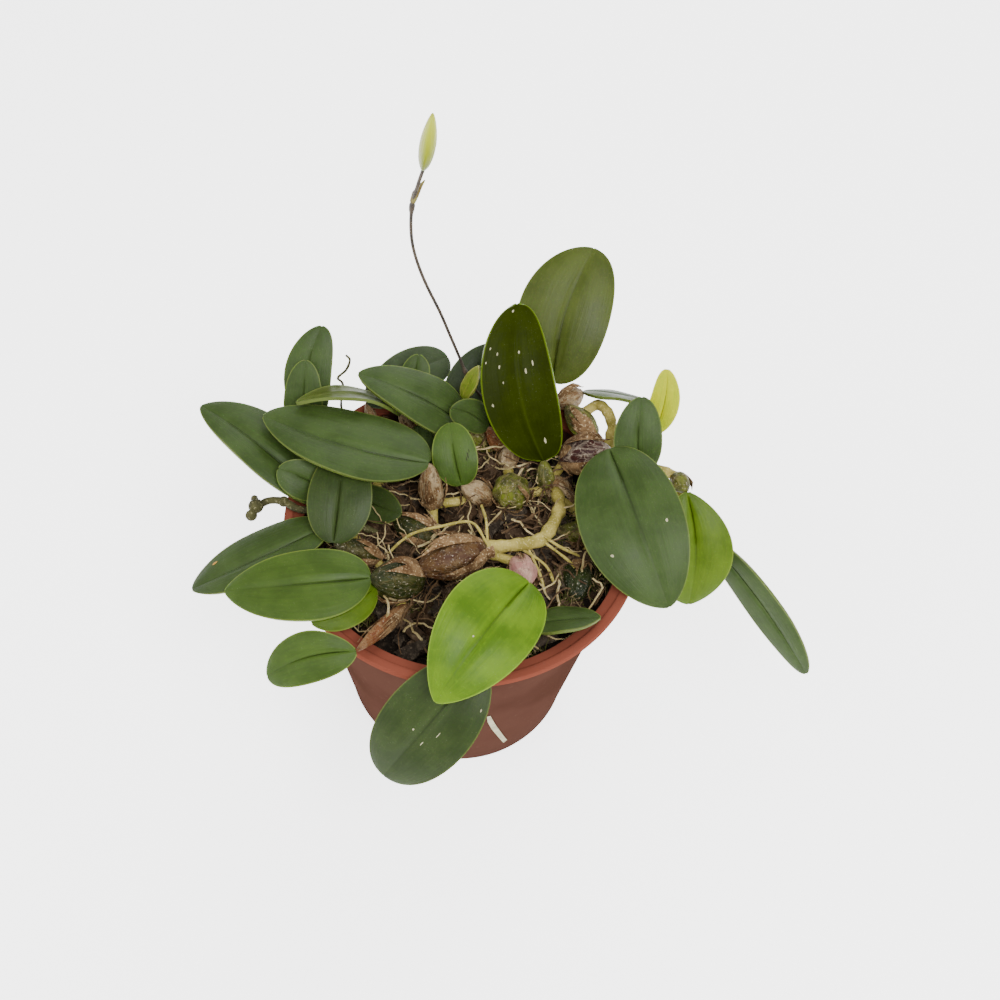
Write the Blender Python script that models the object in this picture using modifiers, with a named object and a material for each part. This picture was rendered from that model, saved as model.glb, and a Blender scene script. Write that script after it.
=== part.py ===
"""A bulbophyllum orchid growing in its round nursery pot.

Metres, +Z up. The origin is the centre of the pot's underside and -Y is the side that the
photograph looks at from above. The pot, the bark mix, the creeping rhizome with its pseudobulbs
and roots, the flower stalk, the bud and every leaf are solids of their own.
"""
import math
import random

import bpy
import bmesh
from mathutils import Euler, Matrix, Vector
from mathutils.bvhtree import BVHTree

# Pot: a 12 cm nursery pot.
RIM_RADIUS = 0.060
RIM_WIDTH = 0.0031
LIP_HEIGHT = 0.003
POT_HEIGHT = 0.105
POT_BASE_RADIUS = 0.0413
WALL_TOP_RADIUS = 0.0552
POT_WALL = 0.0016
POT_FLOOR = 0.003
TURN_STEPS = 36
DRAIN_HOLES = 6
DRAIN_RADIUS = 0.004
DRAIN_CIRCLE = 0.028

# Bark mix that fills the pot.
BARK_CHIPS = 56
CHIP_REACH = 0.0455
GOLDEN_ANGLE = 2.399963

# Plant.
GAP = 0.0003
LEAF_THICKNESS = 0.0012
PETIOLE_HALF_WIDTH = 0.0012
LEAF_CELLS_ACROSS = 4
LEAF_CELLS_ALONG = 8
FOLD_RISE = 0.22
FOLD_DROOP = 0.24
BULB_SIDES = 7
BULB_RINGS = 5
RHIZOME_RADIUS = 0.0026
ROOT_RADIUS = 0.0006
STALK_RADIUS = 0.0005

# Each leaf: foot, tip, width, roll about its line in degrees (0 has the upper face up), rise of
# its middle above that line, sideways bow, share of extra width on one side, where along it it is
# widest, and how blunt its tip and its foot are (a smaller power is blunter).
LEAVES = {
    "leaf_centre_left": ((-0.0135, 0.0145, 0.1160), (-0.0695, 0.0235, 0.1220),
        0.028, 6, 0.0025, 0.0045, -0.15, 0.38, 0.62, 0.45),
    "leaf_far_left": ((-0.0480, 0.0030, 0.1040), (-0.0920, 0.0290, 0.1170),
        0.023, 8, 0.0055, 0.0010, -0.21, 0.42, 0.62, 0.50),
    "leaf_back_left_tall": ((-0.0555, 0.0315, 0.1090), (-0.0540, 0.0560, 0.1320),
        0.016, 2, 0.0020, 0.0030, -0.04, 0.48, 0.50, 0.50),
    "leaf_back_left_small": ((-0.0580, 0.0290, 0.1100), (-0.0580, 0.0440, 0.1280),
        0.013, 2, 0.0010, 0.0000, 0.03, 0.38, 0.50, 0.50),
    "leaf_back_left_arched": ((-0.0255, 0.0360, 0.1130), (-0.0590, 0.0280, 0.1250),
        0.014, -146, -0.0055, 0.0000, 0.07, 0.30, 0.60, 0.50),
    "leaf_back_centre_left": ((-0.0020, 0.0370, 0.1070), (-0.0400, 0.0415, 0.1260),
        0.022, 2, 0.0040, 0.0005, -0.04, 0.32, 0.65, 0.60),
    "leaf_back_blue": ((-0.0380, 0.0425, 0.1095), (-0.0120, 0.0660, 0.1085),
        0.017, 28, 0.0020, 0.0015, -0.06, 0.55, 0.42, 0.50),
    "leaf_back_small": ((-0.0225, 0.0465, 0.1120), (-0.0210, 0.0565, 0.1205),
        0.010, 4, 0.0000, 0.0000, -0.03, 0.45, 0.50, 0.60),
    "leaf_back_centre": ((-0.0060, 0.0440, 0.0990), (0.0055, 0.0665, 0.1170),
        0.018, 14, 0.0020, 0.0020, -0.06, 0.45, 0.50, 0.50),
    "leaf_back_turned": ((0.0250, 0.0270, 0.1060), (0.0115, 0.0645, 0.1420),
        0.025, 168, -0.0060, -0.0040, -0.03, 0.44, 0.45, 0.36),
    "leaf_back_right_tall": ((0.0265, 0.0575, 0.1105), (0.0365, 0.0945, 0.1400),
        0.032, 8, 0.0030, 0.0030, 0.02, 0.48, 0.48, 0.50),
    "leaf_back_right_edge": ((0.0375, 0.0545, 0.1100), (0.0605, 0.0505, 0.1120),
        0.018, -44, 0.0010, -0.0020, -0.00, 0.45, 0.60, 0.50),
    "leaf_right_yellow": ((0.0615, 0.0360, 0.1140), (0.0635, 0.0485, 0.1340),
        0.010, 4, 0.0010, -0.0015, -0.00, 0.45, 0.50, 0.50),
    "leaf_right_upright": ((0.0575, 0.0195, 0.1120), (0.0555, 0.0380, 0.1310),
        0.016, -4, 0.0020, 0.0010, -0.00, 0.45, 0.50, 0.60),
    "leaf_right_big": ((0.0465, 0.0235, 0.1200), (0.0685, -0.0265, 0.1060),
        0.034, 14, 0.0070, 0.0000, -0.12, 0.48, 0.62, 0.45),
    "leaf_right_bright": ((0.0740, 0.0165, 0.1090), (0.0790, -0.0105, 0.0810),
        0.026, 6, 0.0030, 0.0025, -0.04, 0.55, 0.65, 0.70),
    "leaf_right_hanging": ((0.0840, 0.0090, 0.0930), (0.1230, -0.0245, 0.0640),
        0.014, 72, 0.0010, 0.0030, -0.04, 0.48, 0.45, 0.50),
    "leaf_front_bright": ((0.0225, -0.0285, 0.1170), (-0.0030, -0.0695, 0.1120),
        0.030, -18, 0.0080, -0.0015, -0.05, 0.42, 0.72, 0.40),
    "leaf_front_low": ((0.0095, -0.0540, 0.1090), (-0.0180, -0.0805, 0.0780),
        0.029, -24, 0.0050, 0.0000, -0.01, 0.50, 0.45, 0.50),
    "leaf_front_right_small": ((0.0240, -0.0350, 0.1010), (0.0465, -0.0340, 0.1080),
        0.014, -26, 0.0010, -0.0005, 0.05, 0.45, 0.75, 0.50),
    "leaf_front_left_small": ((-0.0290, -0.0550, 0.1120), (-0.0560, -0.0610, 0.1020),
        0.016, -32, 0.0030, -0.0025, -0.00, 0.50, 0.50, 0.60),
    "leaf_left_front": ((-0.0280, -0.0280, 0.1105), (-0.0740, -0.0340, 0.1045),
        0.025, -4, 0.0045, 0.0020, 0.04, 0.38, 0.72, 0.45),
    "leaf_left_low": ((-0.0440, -0.0075, 0.1070), (-0.0865, -0.0295, 0.0955),
        0.021, 12, 0.0045, 0.0040, -0.10, 0.45, 0.62, 0.50),
    "leaf_left_under": ((-0.0265, -0.0285, 0.1055), (-0.0445, -0.0445, 0.1085),
        0.013, -28, 0.0010, 0.0010, -0.00, 0.45, 0.50, 0.50),
    "leaf_left_dark": ((-0.0415, -0.0150, 0.1090), (-0.0415, 0.0140, 0.1190),
        0.021, 0, 0.0030, -0.0005, -0.02, 0.45, 0.50, 0.45),
    "leaf_left_inner": ((-0.0390, 0.0095, 0.1015), (-0.0210, 0.0000, 0.1060),
        0.012, 32, 0.0005, -0.0005, 0.03, 0.50, 0.60, 0.50),
    "leaf_left_small": ((-0.0465, 0.0045, 0.1100), (-0.0620, 0.0060, 0.1180),
        0.013, -36, 0.0010, -0.0005, 0.08, 0.50, 0.50, 0.50),
    "leaf_centre_upright": ((-0.0020, 0.0125, 0.1080), (-0.0075, 0.0285, 0.1200),
        0.015, -10, 0.0020, 0.0005, -0.00, 0.45, 0.45, 0.42),
    "leaf_centre_small": ((0.0045, 0.0370, 0.1080), (-0.0080, 0.0350, 0.1200),
        0.011, -46, 0.0005, -0.0015, -0.00, 0.50, 0.50, 0.50),
    "leaf_centre_new": ((-0.0045, 0.0450, 0.1140), (0.0005, 0.0470, 0.1290),
        0.006, 18, 0.0010, -0.0005, -0.07, 0.45, 0.70, 0.50),
    "leaf_centre_hidden": ((-0.0140, 0.0240, 0.1020), (-0.0195, 0.0370, 0.1050),
        0.010, -14, 0.0010, 0.0000, -0.00, 0.45, 0.50, 0.50),
}

# Upright pseudobulbs under the leaves whose bulbs show: leaf, lower end and radius.
BULBS_WITH_LEAF = {
    "leaf_left_front": ((-0.0115, -0.0210, 0.1010), 0.0070),
    "leaf_left_dark": ((-0.0265, -0.0140, 0.0990), 0.0043),
    "leaf_centre_upright": ((0.0080, 0.0140, 0.0980), 0.0044),
    "leaf_centre_small": ((0.0115, 0.0350, 0.0990), 0.0036),
    "leaf_centre_left": ((-0.0110, 0.0085, 0.0970), 0.0045),
    "leaf_right_big": ((0.0320, 0.0320, 0.1010), 0.0064),
    "leaf_back_right_edge": ((0.0285, 0.0488, 0.1100), 0.0042),
    "leaf_front_bright": ((0.0190, -0.0110, 0.1010), 0.0046),
    "leaf_right_upright": ((0.0575, 0.0130, 0.1088), 0.0028),
    "leaf_right_yellow": ((0.0600, 0.0270, 0.1100), 0.0030),
    "leaf_right_bright": ((0.0700, 0.0240, 0.1085), 0.0034),
    "leaf_right_hanging": ((0.0735, 0.0190, 0.1000), 0.0030),
    "leaf_back_left_tall": ((-0.0450, 0.0225, 0.1085), 0.0027),
    "leaf_back_left_small": ((-0.0470, 0.0225, 0.1085), 0.0021),
    "leaf_back_blue": ((-0.0335, 0.0340, 0.1015), 0.0022),
    "leaf_back_small": ((-0.0195, 0.0395, 0.1060), 0.0020),
    "leaf_front_low": ((0.0120, -0.0395, 0.1000), 0.0032),
    "leaf_back_right_tall": ((0.0215, 0.0440, 0.1060), 0.0030),
    "leaf_back_left_arched": ((-0.0215, 0.0400, 0.0985), 0.0026),
    "leaf_centre_new": ((0.0050, 0.0420, 0.0980), 0.0020),
    "leaf_front_left_small": ((-0.0152, -0.0283, 0.0970), 0.0026),
}

# Pseudobulbs that have lost their leaf: lower end, upper end and radius.
BARE_BULBS = {
    "front_red": ((0.0085, -0.0105, 0.1060), (-0.0140, -0.0215, 0.1070), 0.0074),
    "left_netted": ((-0.0075, -0.0045, 0.0970), (-0.0240, 0.0005, 0.1010), 0.0056),
    "old_knot": ((0.0160, 0.0160, 0.0960), (0.0135, 0.0145, 0.1100), 0.0066),
    "centre_white": ((0.0130, 0.0270, 0.0980), (0.0120, 0.0325, 0.1040), 0.0034),
    "right_olive": ((0.0420, 0.0345, 0.1105), (0.0315, 0.0464, 0.1120), 0.0048),
    "front_dark": ((0.0400, -0.0060, 0.0950), (0.0390, -0.0220, 0.0970), 0.0058),
    "right_knobby": ((0.0465, 0.0040, 0.0950), (0.0310, 0.0045, 0.0970), 0.0046),
    "right_dark": ((0.0265, 0.0260, 0.0950), (0.0370, 0.0145, 0.0980), 0.0052),
}
# Runners whose first point is joined to the nearest pseudobulb.
LINKED_RUNNERS = ("rim_branch", "left_branch", "old_stem", "tendril", "bent_shoot")
# Bulbs that sit on one of the runners above, and where on it.
BULBS_ON_RUNNERS = {
    "leaf_right_upright": (0.0576, 0.0150, 0.1090),
    "leaf_right_yellow": (0.0575, 0.0250, 0.1082),
    "leaf_right_bright": (0.0700, 0.0240, 0.1066),
    "leaf_right_hanging": (0.0732, 0.0206, 0.1022),
    "leaf_back_left_tall": (-0.0460, 0.0213, 0.1081),
    "leaf_back_left_small": (-0.0460, 0.0213, 0.1081),
}
HIDDEN_BULB_RADIUS = 0.0034
HIDDEN_BULB_SETBACK = 0.0075
HIDDEN_BULB_BASE = 0.0960

# The thick bare rhizome, and old stems and roots, each as points along its line and a radius.
RUNNERS = {
    "main": (((0.0085, -0.0100, 0.1060), (0.0175, -0.0088, 0.1070), (0.0256, -0.0055, 0.1060),
              (0.0293, 0.0008, 0.1055), (0.0318, 0.0109, 0.1020), (0.0300, 0.0200, 0.0990)), 0.0026),
    "rim_branch": (((0.0380, 0.0260, 0.1030), (0.0480, 0.0255, 0.1075), (0.0570, 0.0250, 0.1082),
                    (0.0650, 0.0240, 0.1095), (0.0710, 0.0240, 0.1060), (0.0735, 0.0200, 0.1010)),
                   0.0022),
    "left_branch": (((-0.0300, 0.0150, 0.0990), (-0.0400, 0.0200, 0.1050), (-0.0470, 0.0215, 0.1085)),
                    0.0024),
    "stalk_foot": (((0.0050, 0.0420, 0.0985), (0.0090, 0.0432, 0.0972), (0.0126, 0.0439, 0.0967)), 0.0012),
    "upright_branch": (((0.0570, 0.0250, 0.1082), (0.0582, 0.0190, 0.1086), (0.0575, 0.0145, 0.1090)),
                       0.0018),
    "old_stem": (((-0.0290, -0.0030, 0.0975), (-0.0390, -0.0010, 0.1005), (-0.0460, -0.0015, 0.1060), (-0.0548, -0.0024, 0.1075),
                  (-0.0602, -0.0002, 0.1080), (-0.0655, -0.0005, 0.1080), (-0.0690, -0.0040, 0.1080),
                  (-0.0700, -0.0060, 0.1080)), 0.0014),
    "old_stem_fork": (((-0.0680, -0.0030, 0.1080), (-0.0705, 0.0005, 0.1085)), 0.0013),
    "bent_shoot": (((0.0379, 0.0459, 0.1095), (0.0427, 0.0480, 0.1120), (0.0462, 0.0428, 0.1140),
                    (0.0478, 0.0384, 0.1110), (0.0470, 0.0323, 0.1090), (0.0470, 0.0265, 0.1078)), 0.0022),
    "tendril": (((-0.0370, 0.0300, 0.1000), (-0.0395, 0.0330, 0.1055), (-0.0461, 0.0393, 0.1080), (-0.0457, 0.0426, 0.1180),
                 (-0.0472, 0.0424, 0.1220), (-0.0443, 0.0430, 0.1260), (-0.0430, 0.0442, 0.1300),
                 (-0.0443, 0.0446, 0.1320)), 0.0006),
    "root_left": (((0.0084, -0.0100, 0.1080), (0.0026, -0.0040, 0.1110), (-0.0072, -0.0075, 0.1125),
                   (-0.0152, -0.0090, 0.1100), (-0.0200, -0.0105, 0.1060), (-0.0240, -0.0125, 0.1010)),
                  0.0007),
    "root_up": (((0.0053, 0.0060, 0.1060), (0.0071, -0.0013, 0.1100), (0.0079, -0.0060, 0.1095),
                 (0.0085, -0.0095, 0.1070)), 0.0007),
    "root_right_far": (((0.0266, -0.0050, 0.1080), (0.0322, -0.0080, 0.1070), (0.0394, -0.0068, 0.1000)),
                       0.0007),
    "root_right": (((0.0251, -0.0050, 0.1065), (0.0344, -0.0110, 0.1050), (0.0386, -0.0120, 0.1000)),
                   0.0007),
    "root_front": (((0.0192, -0.0090, 0.1060), (0.0279, -0.0137, 0.1040), (0.0316, -0.0177, 0.0990)),
                   0.0007),
    "root_front_low": (((0.0218, -0.0085, 0.1060), (0.0265, -0.0171, 0.1030), (0.0289, -0.0212, 0.0980)),
                       0.0007),
}

# Flower stalk, from among the pseudobulbs up to the bud, and the bud's tip.
STALK = ((0.0120, 0.0440, 0.0985), (0.0085, 0.0455, 0.1040), (0.0025, 0.0475, 0.1105),
         (-0.0018, 0.0490, 0.1160), (-0.0044, 0.0500, 0.1220), (-0.0067, 0.0510, 0.1285), (-0.0102, 0.0510, 0.1400), (-0.0133, 0.0497, 0.1520),
         (-0.0180, 0.0478, 0.1680), (-0.0209, 0.0459, 0.1820), (-0.0218, 0.0438, 0.1940),
         (-0.0211, 0.0410, 0.2080), (-0.0191, 0.0380, 0.2190), (-0.0174, 0.0357, 0.2270))
BUD_TIP = (-0.0139, 0.0260, 0.2560)
BUD_RADIUS = 0.0023

POT_COLOR = (0.21, 0.085, 0.058, 1.0)
MIX_COLOR = (0.060, 0.042, 0.030, 1.0)
BULB_COLOR = (0.17, 0.14, 0.07, 1.0)
STALK_COLOR = (0.060, 0.050, 0.035, 1.0)
BUD_COLOR = (0.38, 0.50, 0.06, 1.0)
LEAF_COLOR = (0.085, 0.140, 0.045, 1.0)
LEAF_COLORS = {
    "leaf_front_bright": (0.160, 0.300, 0.028, 1.0),
    "leaf_right_bright": (0.150, 0.260, 0.025, 1.0),
    "leaf_right_yellow": (0.560, 0.580, 0.080, 1.0),
    "leaf_back_turned": (0.042, 0.055, 0.004, 1.0),
    "leaf_back_right_tall": (0.110, 0.135, 0.035, 1.0),
    "leaf_centre_new": (0.200, 0.240, 0.060, 1.0),
}


def clear_scene():
    for obj in list(bpy.data.objects):
        bpy.data.objects.remove(obj, do_unlink=True)


def new_collection(name):
    collection = bpy.data.collections.new(name)
    bpy.context.scene.collection.children.link(collection)
    return collection


def make_material(name, color, roughness):
    material = bpy.data.materials.new(name)
    material.use_nodes = True
    shader = material.node_tree.nodes["Principled BSDF"]
    shader.inputs["Base Color"].default_value = color
    shader.inputs["Roughness"].default_value = roughness
    shader.inputs["Metallic"].default_value = 0.0
    return material


def add_object(name, mesh, collection, material=None):
    obj = bpy.data.objects.new(name, mesh)
    collection.objects.link(obj)
    if material:
        mesh.materials.clear()
        mesh.materials.append(material)
    return obj


def evaluated_mesh(obj):
    """The object's mesh with its modifiers applied, in world space."""
    depsgraph = bpy.context.evaluated_depsgraph_get()
    depsgraph.update()
    mesh = bpy.data.meshes.new_from_object(obj.evaluated_get(depsgraph))
    mesh.transform(obj.matrix_world)
    return mesh


def bake(obj):
    """Replace the object by its evaluated mesh."""
    mesh = evaluated_mesh(obj)
    obj.modifiers.clear()
    obj.matrix_world = Matrix()
    obj.data = mesh
    return obj


def add_boolean(obj, operand, operation):
    """Cut the object with, or join it to, one object or all those of a collection."""
    modifier = obj.modifiers.new(operation.title(), "BOOLEAN")
    modifier.operation = operation
    modifier.solver = "EXACT"
    if isinstance(operand, bpy.types.Collection):
        modifier.operand_type = "COLLECTION"
        modifier.collection = operand
    else:
        modifier.object = operand
    modifier.use_self = True
    return modifier


def keep_largest_body(mesh):
    """Remove every loose crumb that a cut has left."""
    bm = bmesh.new()
    bm.from_mesh(mesh)
    bodies = []
    waiting = set(bm.verts)
    while waiting:
        stack = [next(iter(waiting))]
        waiting.discard(stack[0])
        body = []
        while stack:
            vert = stack.pop()
            body.append(vert)
            for edge in vert.link_edges:
                other = edge.other_vert(vert)
                if other in waiting:
                    waiting.discard(other)
                    stack.append(other)
        bodies.append(body)
    bodies.sort(key=len)
    for body in bodies[:-1]:
        bmesh.ops.delete(bm, geom=body, context="VERTS")
    bm.to_mesh(mesh)
    bm.free()


# Pot

def pot_radius(z):
    """Outer radius of the plain wall at height z."""
    share = z / (POT_HEIGHT - LIP_HEIGHT)
    return POT_BASE_RADIUS + (WALL_TOP_RADIUS - POT_BASE_RADIUS) * share


def move_to(obj, collection):
    for other in list(obj.users_collection):
        other.objects.unlink(obj)
    collection.objects.link(obj)


def turned_solid(name, profile, collection, material):
    """Turn a profile of (radius, z) points about Z: it starts and ends on the axis."""
    mesh = bpy.data.meshes.new(name)
    mesh.from_pydata([(r, 0.0, z) for r, z in profile], [(i, i + 1) for i in range(len(profile) - 1)], [])
    obj = add_object(name, mesh, collection, material)
    screw = obj.modifiers.new("Turn", "SCREW")
    screw.steps = TURN_STEPS
    screw.render_steps = TURN_STEPS
    screw.use_merge_vertices = True
    screw.merge_threshold = 0.00005
    bake(obj)
    bm = bmesh.new()
    bm.from_mesh(obj.data)
    bmesh.ops.remove_doubles(bm, verts=bm.verts, dist=0.00002)
    bmesh.ops.recalc_face_normals(bm, faces=bm.faces)
    bm.to_mesh(obj.data)
    bm.free()
    return obj


def build_pot(parts, cutters):
    lip_z = POT_HEIGHT - LIP_HEIGHT
    inner_lip = RIM_RADIUS - RIM_WIDTH
    profile = [
        (0.0, POT_FLOOR),
        (POT_BASE_RADIUS - POT_WALL, POT_FLOOR),
        (WALL_TOP_RADIUS - POT_WALL, lip_z + 0.0012),
        (inner_lip, POT_HEIGHT - 0.0010),
        (inner_lip + 0.0006, POT_HEIGHT),
        (RIM_RADIUS - 0.0008, POT_HEIGHT),
        (RIM_RADIUS, POT_HEIGHT - 0.0008),
        (RIM_RADIUS, lip_z),
        (WALL_TOP_RADIUS, lip_z),
        (POT_BASE_RADIUS + 0.0006, 0.0010),
        (POT_BASE_RADIUS, 0.0),
        (0.0, 0.0),
    ]
    pot = turned_solid("pot", profile, parts, make_material("pot_plastic", POT_COLOR, 0.45))
    for index in range(DRAIN_HOLES):
        angle = 2.0 * math.pi * (index + 0.37) / DRAIN_HOLES
        bpy.ops.mesh.primitive_cylinder_add(vertices=12, radius=DRAIN_RADIUS, depth=0.012)
        hole = bpy.context.active_object
        hole.name = f"drain_hole_{index + 1}"
        hole.location = (DRAIN_CIRCLE * math.cos(angle), DRAIN_CIRCLE * math.sin(angle), 0.0)
        hole.hide_render = True
        hole.display_type = "WIRE"
        move_to(hole, cutters)
        add_boolean(pot, hole, "DIFFERENCE").use_self = False
    return pot


# Bark mix

def build_mix(parts, growth):
    """Bark mix that ends just under the lowest pseudobulb, with chips where the plant leaves room."""
    top = min(vert.co.z for vert in growth.data.vertices) - GAP
    wall = POT_WALL + GAP + 0.0002
    outline = [
        (0.0, top),
        (pot_radius(top) - wall - 0.0030, top),
        (pot_radius(top) - wall - 0.0004, top - 0.0010),
        (pot_radius(POT_FLOOR) - wall - 0.0004, POT_FLOOR + GAP),
        (0.0, POT_FLOOR + GAP),
    ]
    mix = turned_solid("potting_mix", outline, parts, make_material("bark_mix", MIX_COLOR, 0.95))
    plant = BVHTree.FromObject(growth, bpy.context.evaluated_depsgraph_get())
    draw = random.Random(7)
    for index in range(BARK_CHIPS):
        angle = GOLDEN_ANGLE * index
        reach = CHIP_REACH * math.sqrt((index + 0.5) / BARK_CHIPS)
        size = Vector((draw.uniform(0.007, 0.012), draw.uniform(0.004, 0.007), draw.uniform(0.003, 0.006)))
        tilt = Euler((draw.uniform(-0.4, 0.4), draw.uniform(-0.4, 0.4), draw.uniform(0.0, 3.1)))
        place = Vector((reach * math.cos(angle), reach * math.sin(angle), top + 0.0002))
        if crosses(chip_bmesh(size * 1.12, tilt, place), plant):
            continue
        chip_mesh = bpy.data.meshes.new("chip")
        bm = chip_bmesh(size, tilt, place)
        bm.to_mesh(chip_mesh)
        bm.free()
        chip = bpy.data.objects.new("chip", chip_mesh)
        bpy.context.scene.collection.objects.link(chip)
        add_boolean(mix, chip, "UNION").use_self = False
        bake(mix)
        bpy.data.objects.remove(chip, do_unlink=True)
    return mix


def chip_bmesh(size, tilt, place):
    bm = bmesh.new()
    bmesh.ops.create_cube(bm, size=1.0)
    turn = tilt.to_matrix()
    for vert in bm.verts:
        vert.co = place + turn @ Vector((vert.co.x * size.x, vert.co.y * size.y, vert.co.z * size.z))
    return bm


def crosses(bm, tree):
    """Whether the small solid cuts the tree's surface."""
    cut = bool(BVHTree.FromBMesh(bm).overlap(tree))
    bm.free()
    return cut


# Leaves

def leaf_frame(leaf):
    """Foot, tip, the line between them, the upper side and the sideways direction."""
    foot = Vector(leaf[0])
    tip = Vector(leaf[1])
    line = (tip - foot).normalized()
    upper = (Vector((0.0, 0.0, 1.0)) - line * line.z).normalized()
    upper = Matrix.Rotation(math.radians(leaf[3]), 3, line) @ upper
    return foot, tip, line, upper, upper.cross(line)


def leaf_outline(along, widest, tip_power, foot_power):
    """Half width at a share of the length, as a share of the greatest half width."""
    if along < widest:
        return max(0.0, 1.0 - ((widest - along) / widest) ** 2) ** foot_power
    return max(0.0, 1.0 - ((along - widest) / (1.0 - widest)) ** 2) ** tip_power


def leaf_point(leaf, along, across):
    """A point on the blade: along runs 0 to 1 from the foot, across -1 to 1."""
    foot, tip, line, upper, side = leaf_frame(leaf)
    width, roll, rise, bow, lean, widest, tip_power, foot_power = leaf[2:]
    middle = (foot + tip) / 2.0 + upper * rise + side * bow
    control = middle * 2.0 - (foot + tip) / 2.0
    spine = foot * (1.0 - along) ** 2 + control * (2.0 * along * (1.0 - along)) + tip * along ** 2
    share = leaf_outline(along, widest, tip_power, foot_power)
    half = share * width / 2.0 * (1.0 + lean * (1.0 if across > 0.0 else -1.0))
    half = max(half, PETIOLE_HALF_WIDTH)
    # Both wings rise from the groove and droop again to the margins.
    wing = abs(across)
    relief = half * (FOLD_RISE * wing - FOLD_DROOP * wing * wing)
    return spine + side * (half * across) + upper * relief


def build_leaf(name, leaf, parts):
    bm = bmesh.new()
    bmesh.ops.create_grid(bm, x_segments=LEAF_CELLS_ACROSS, y_segments=LEAF_CELLS_ALONG, size=1.0)
    for vert in bm.verts:
        across = vert.co.x
        along = (1.0 - math.cos(math.pi * (vert.co.y + 1.0) / 2.0)) / 2.0
        vert.co = leaf_point(leaf, along, across)
    bmesh.ops.recalc_face_normals(bm, faces=bm.faces)
    mesh = bpy.data.meshes.new(name)
    bm.to_mesh(mesh)
    bm.free()
    mesh.shade_smooth()
    material = make_material(name + "_blade", LEAF_COLORS.get(name, LEAF_COLOR), 0.42)
    obj = add_object(name, mesh, parts, material)
    solidify = obj.modifiers.new("Thickness", "SOLIDIFY")
    solidify.thickness = LEAF_THICKNESS
    solidify.offset = 0.0
    return obj


# Pseudobulbs, rhizome and roots

def bulb_mesh(low, high, radius, ribs=5):
    """An egg with shallow ribs, drawn out to a neck at its upper end."""
    axis = high - low
    length = axis.length
    turn = axis.to_track_quat("Z", "Y").to_matrix()
    bm = bmesh.new()
    bmesh.ops.create_uvsphere(bm, u_segments=BULB_SIDES, v_segments=BULB_RINGS, radius=1.0)
    for vert in bm.verts:
        height = (vert.co.z + 1.0) / 2.0
        angle = math.atan2(vert.co.y, vert.co.x)
        girth = math.hypot(vert.co.x, vert.co.y)
        neck = 1.0 - 0.45 * height ** 3
        rib = 1.0 + 0.05 * math.cos(ribs * angle)
        local = Vector((math.cos(angle), math.sin(angle), 0.0)) * (girth * radius * neck * rib)
        local.z = height * length
        vert.co = low + turn @ local
    mesh = bpy.data.meshes.new("pseudobulb")
    bm.to_mesh(mesh)
    bm.free()
    return mesh


def tube_mesh(points, radius, name="runner"):
    """A round tube along points, tapered a little at its end, with its caps welded."""
    curve = bpy.data.curves.new(name, "CURVE")
    curve.dimensions = "3D"
    curve.bevel_depth = radius
    curve.bevel_resolution = 1 if radius < 0.001 else 2
    curve.use_fill_caps = True
    spline = curve.splines.new("POLY")
    spline.points.add(len(points) - 1)
    for index, (point, place) in enumerate(zip(spline.points, points)):
        point.co = (place[0], place[1], place[2], 1.0)
        point.radius = 1.0 if index < len(points) - 1 else 0.75
    holder = bpy.data.objects.new(name, curve)
    bpy.context.scene.collection.objects.link(holder)
    mesh = evaluated_mesh(holder)
    bpy.data.objects.remove(holder, do_unlink=True)
    bm = bmesh.new()
    bm.from_mesh(mesh)
    bmesh.ops.remove_doubles(bm, verts=bm.verts, dist=0.00002)
    bmesh.ops.recalc_face_normals(bm, faces=bm.faces)
    bm.to_mesh(mesh)
    bm.free()
    return mesh


def smooth_path(points, steps=3):
    """Points on a Catmull-Rom curve through the given ones."""
    places = [Vector(p) for p in points]
    ends = [places[0] * 2.0 - places[1]] + places + [places[-1] * 2.0 - places[-2]]
    path = []
    for i in range(len(places) - 1):
        a, b, c, d = ends[i:i + 4]
        for step in range(steps):
            t = step / steps
            path.append(0.5 * ((2.0 * b) + (c - a) * t + (2.0 * a - 5.0 * b + 4.0 * c - d) * t ** 2
                               + (3.0 * b - a - 3.0 * c + d) * t ** 3))
    path.append(places[-1])
    return path


def bulb_under_leaf(name):
    """Lower end, upper end and radius of the pseudobulb that carries the leaf."""
    leaf = LEAVES[name]
    foot, tip, line, upper, side = leaf_frame(leaf)
    if name in BULBS_WITH_LEAF:
        place, radius = BULBS_WITH_LEAF[name]
        low = Vector(place)
    else:
        level = Vector((line.x, line.y, 0.0)).normalized()
        low = foot - level * HIDDEN_BULB_SETBACK
        low.z = min(HIDDEN_BULB_BASE, foot.z - 0.004)
        radius = HIDDEN_BULB_RADIUS
    axis = (foot - low).normalized()
    # The blade's foot is a small flat end, whose nearest corner stays clear of the bulb.
    corner = LEAF_THICKNESS / 2.0 * abs(upper.dot(axis)) + PETIOLE_HALF_WIDTH * abs(side.dot(axis))
    return low, foot - axis * (GAP + corner), radius


def linking_runners(bases):
    """Thin rhizome from each base to the nearest one that is already linked."""
    linked = [bases[0]]
    waiting = list(bases[1:])
    links = []
    while waiting:
        near, start = min(((w, l) for w in waiting for l in linked), key=lambda pair: (pair[0] - pair[1]).length)
        links.append((start, near))
        linked.append(near)
        waiting.remove(near)
    return links


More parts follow.
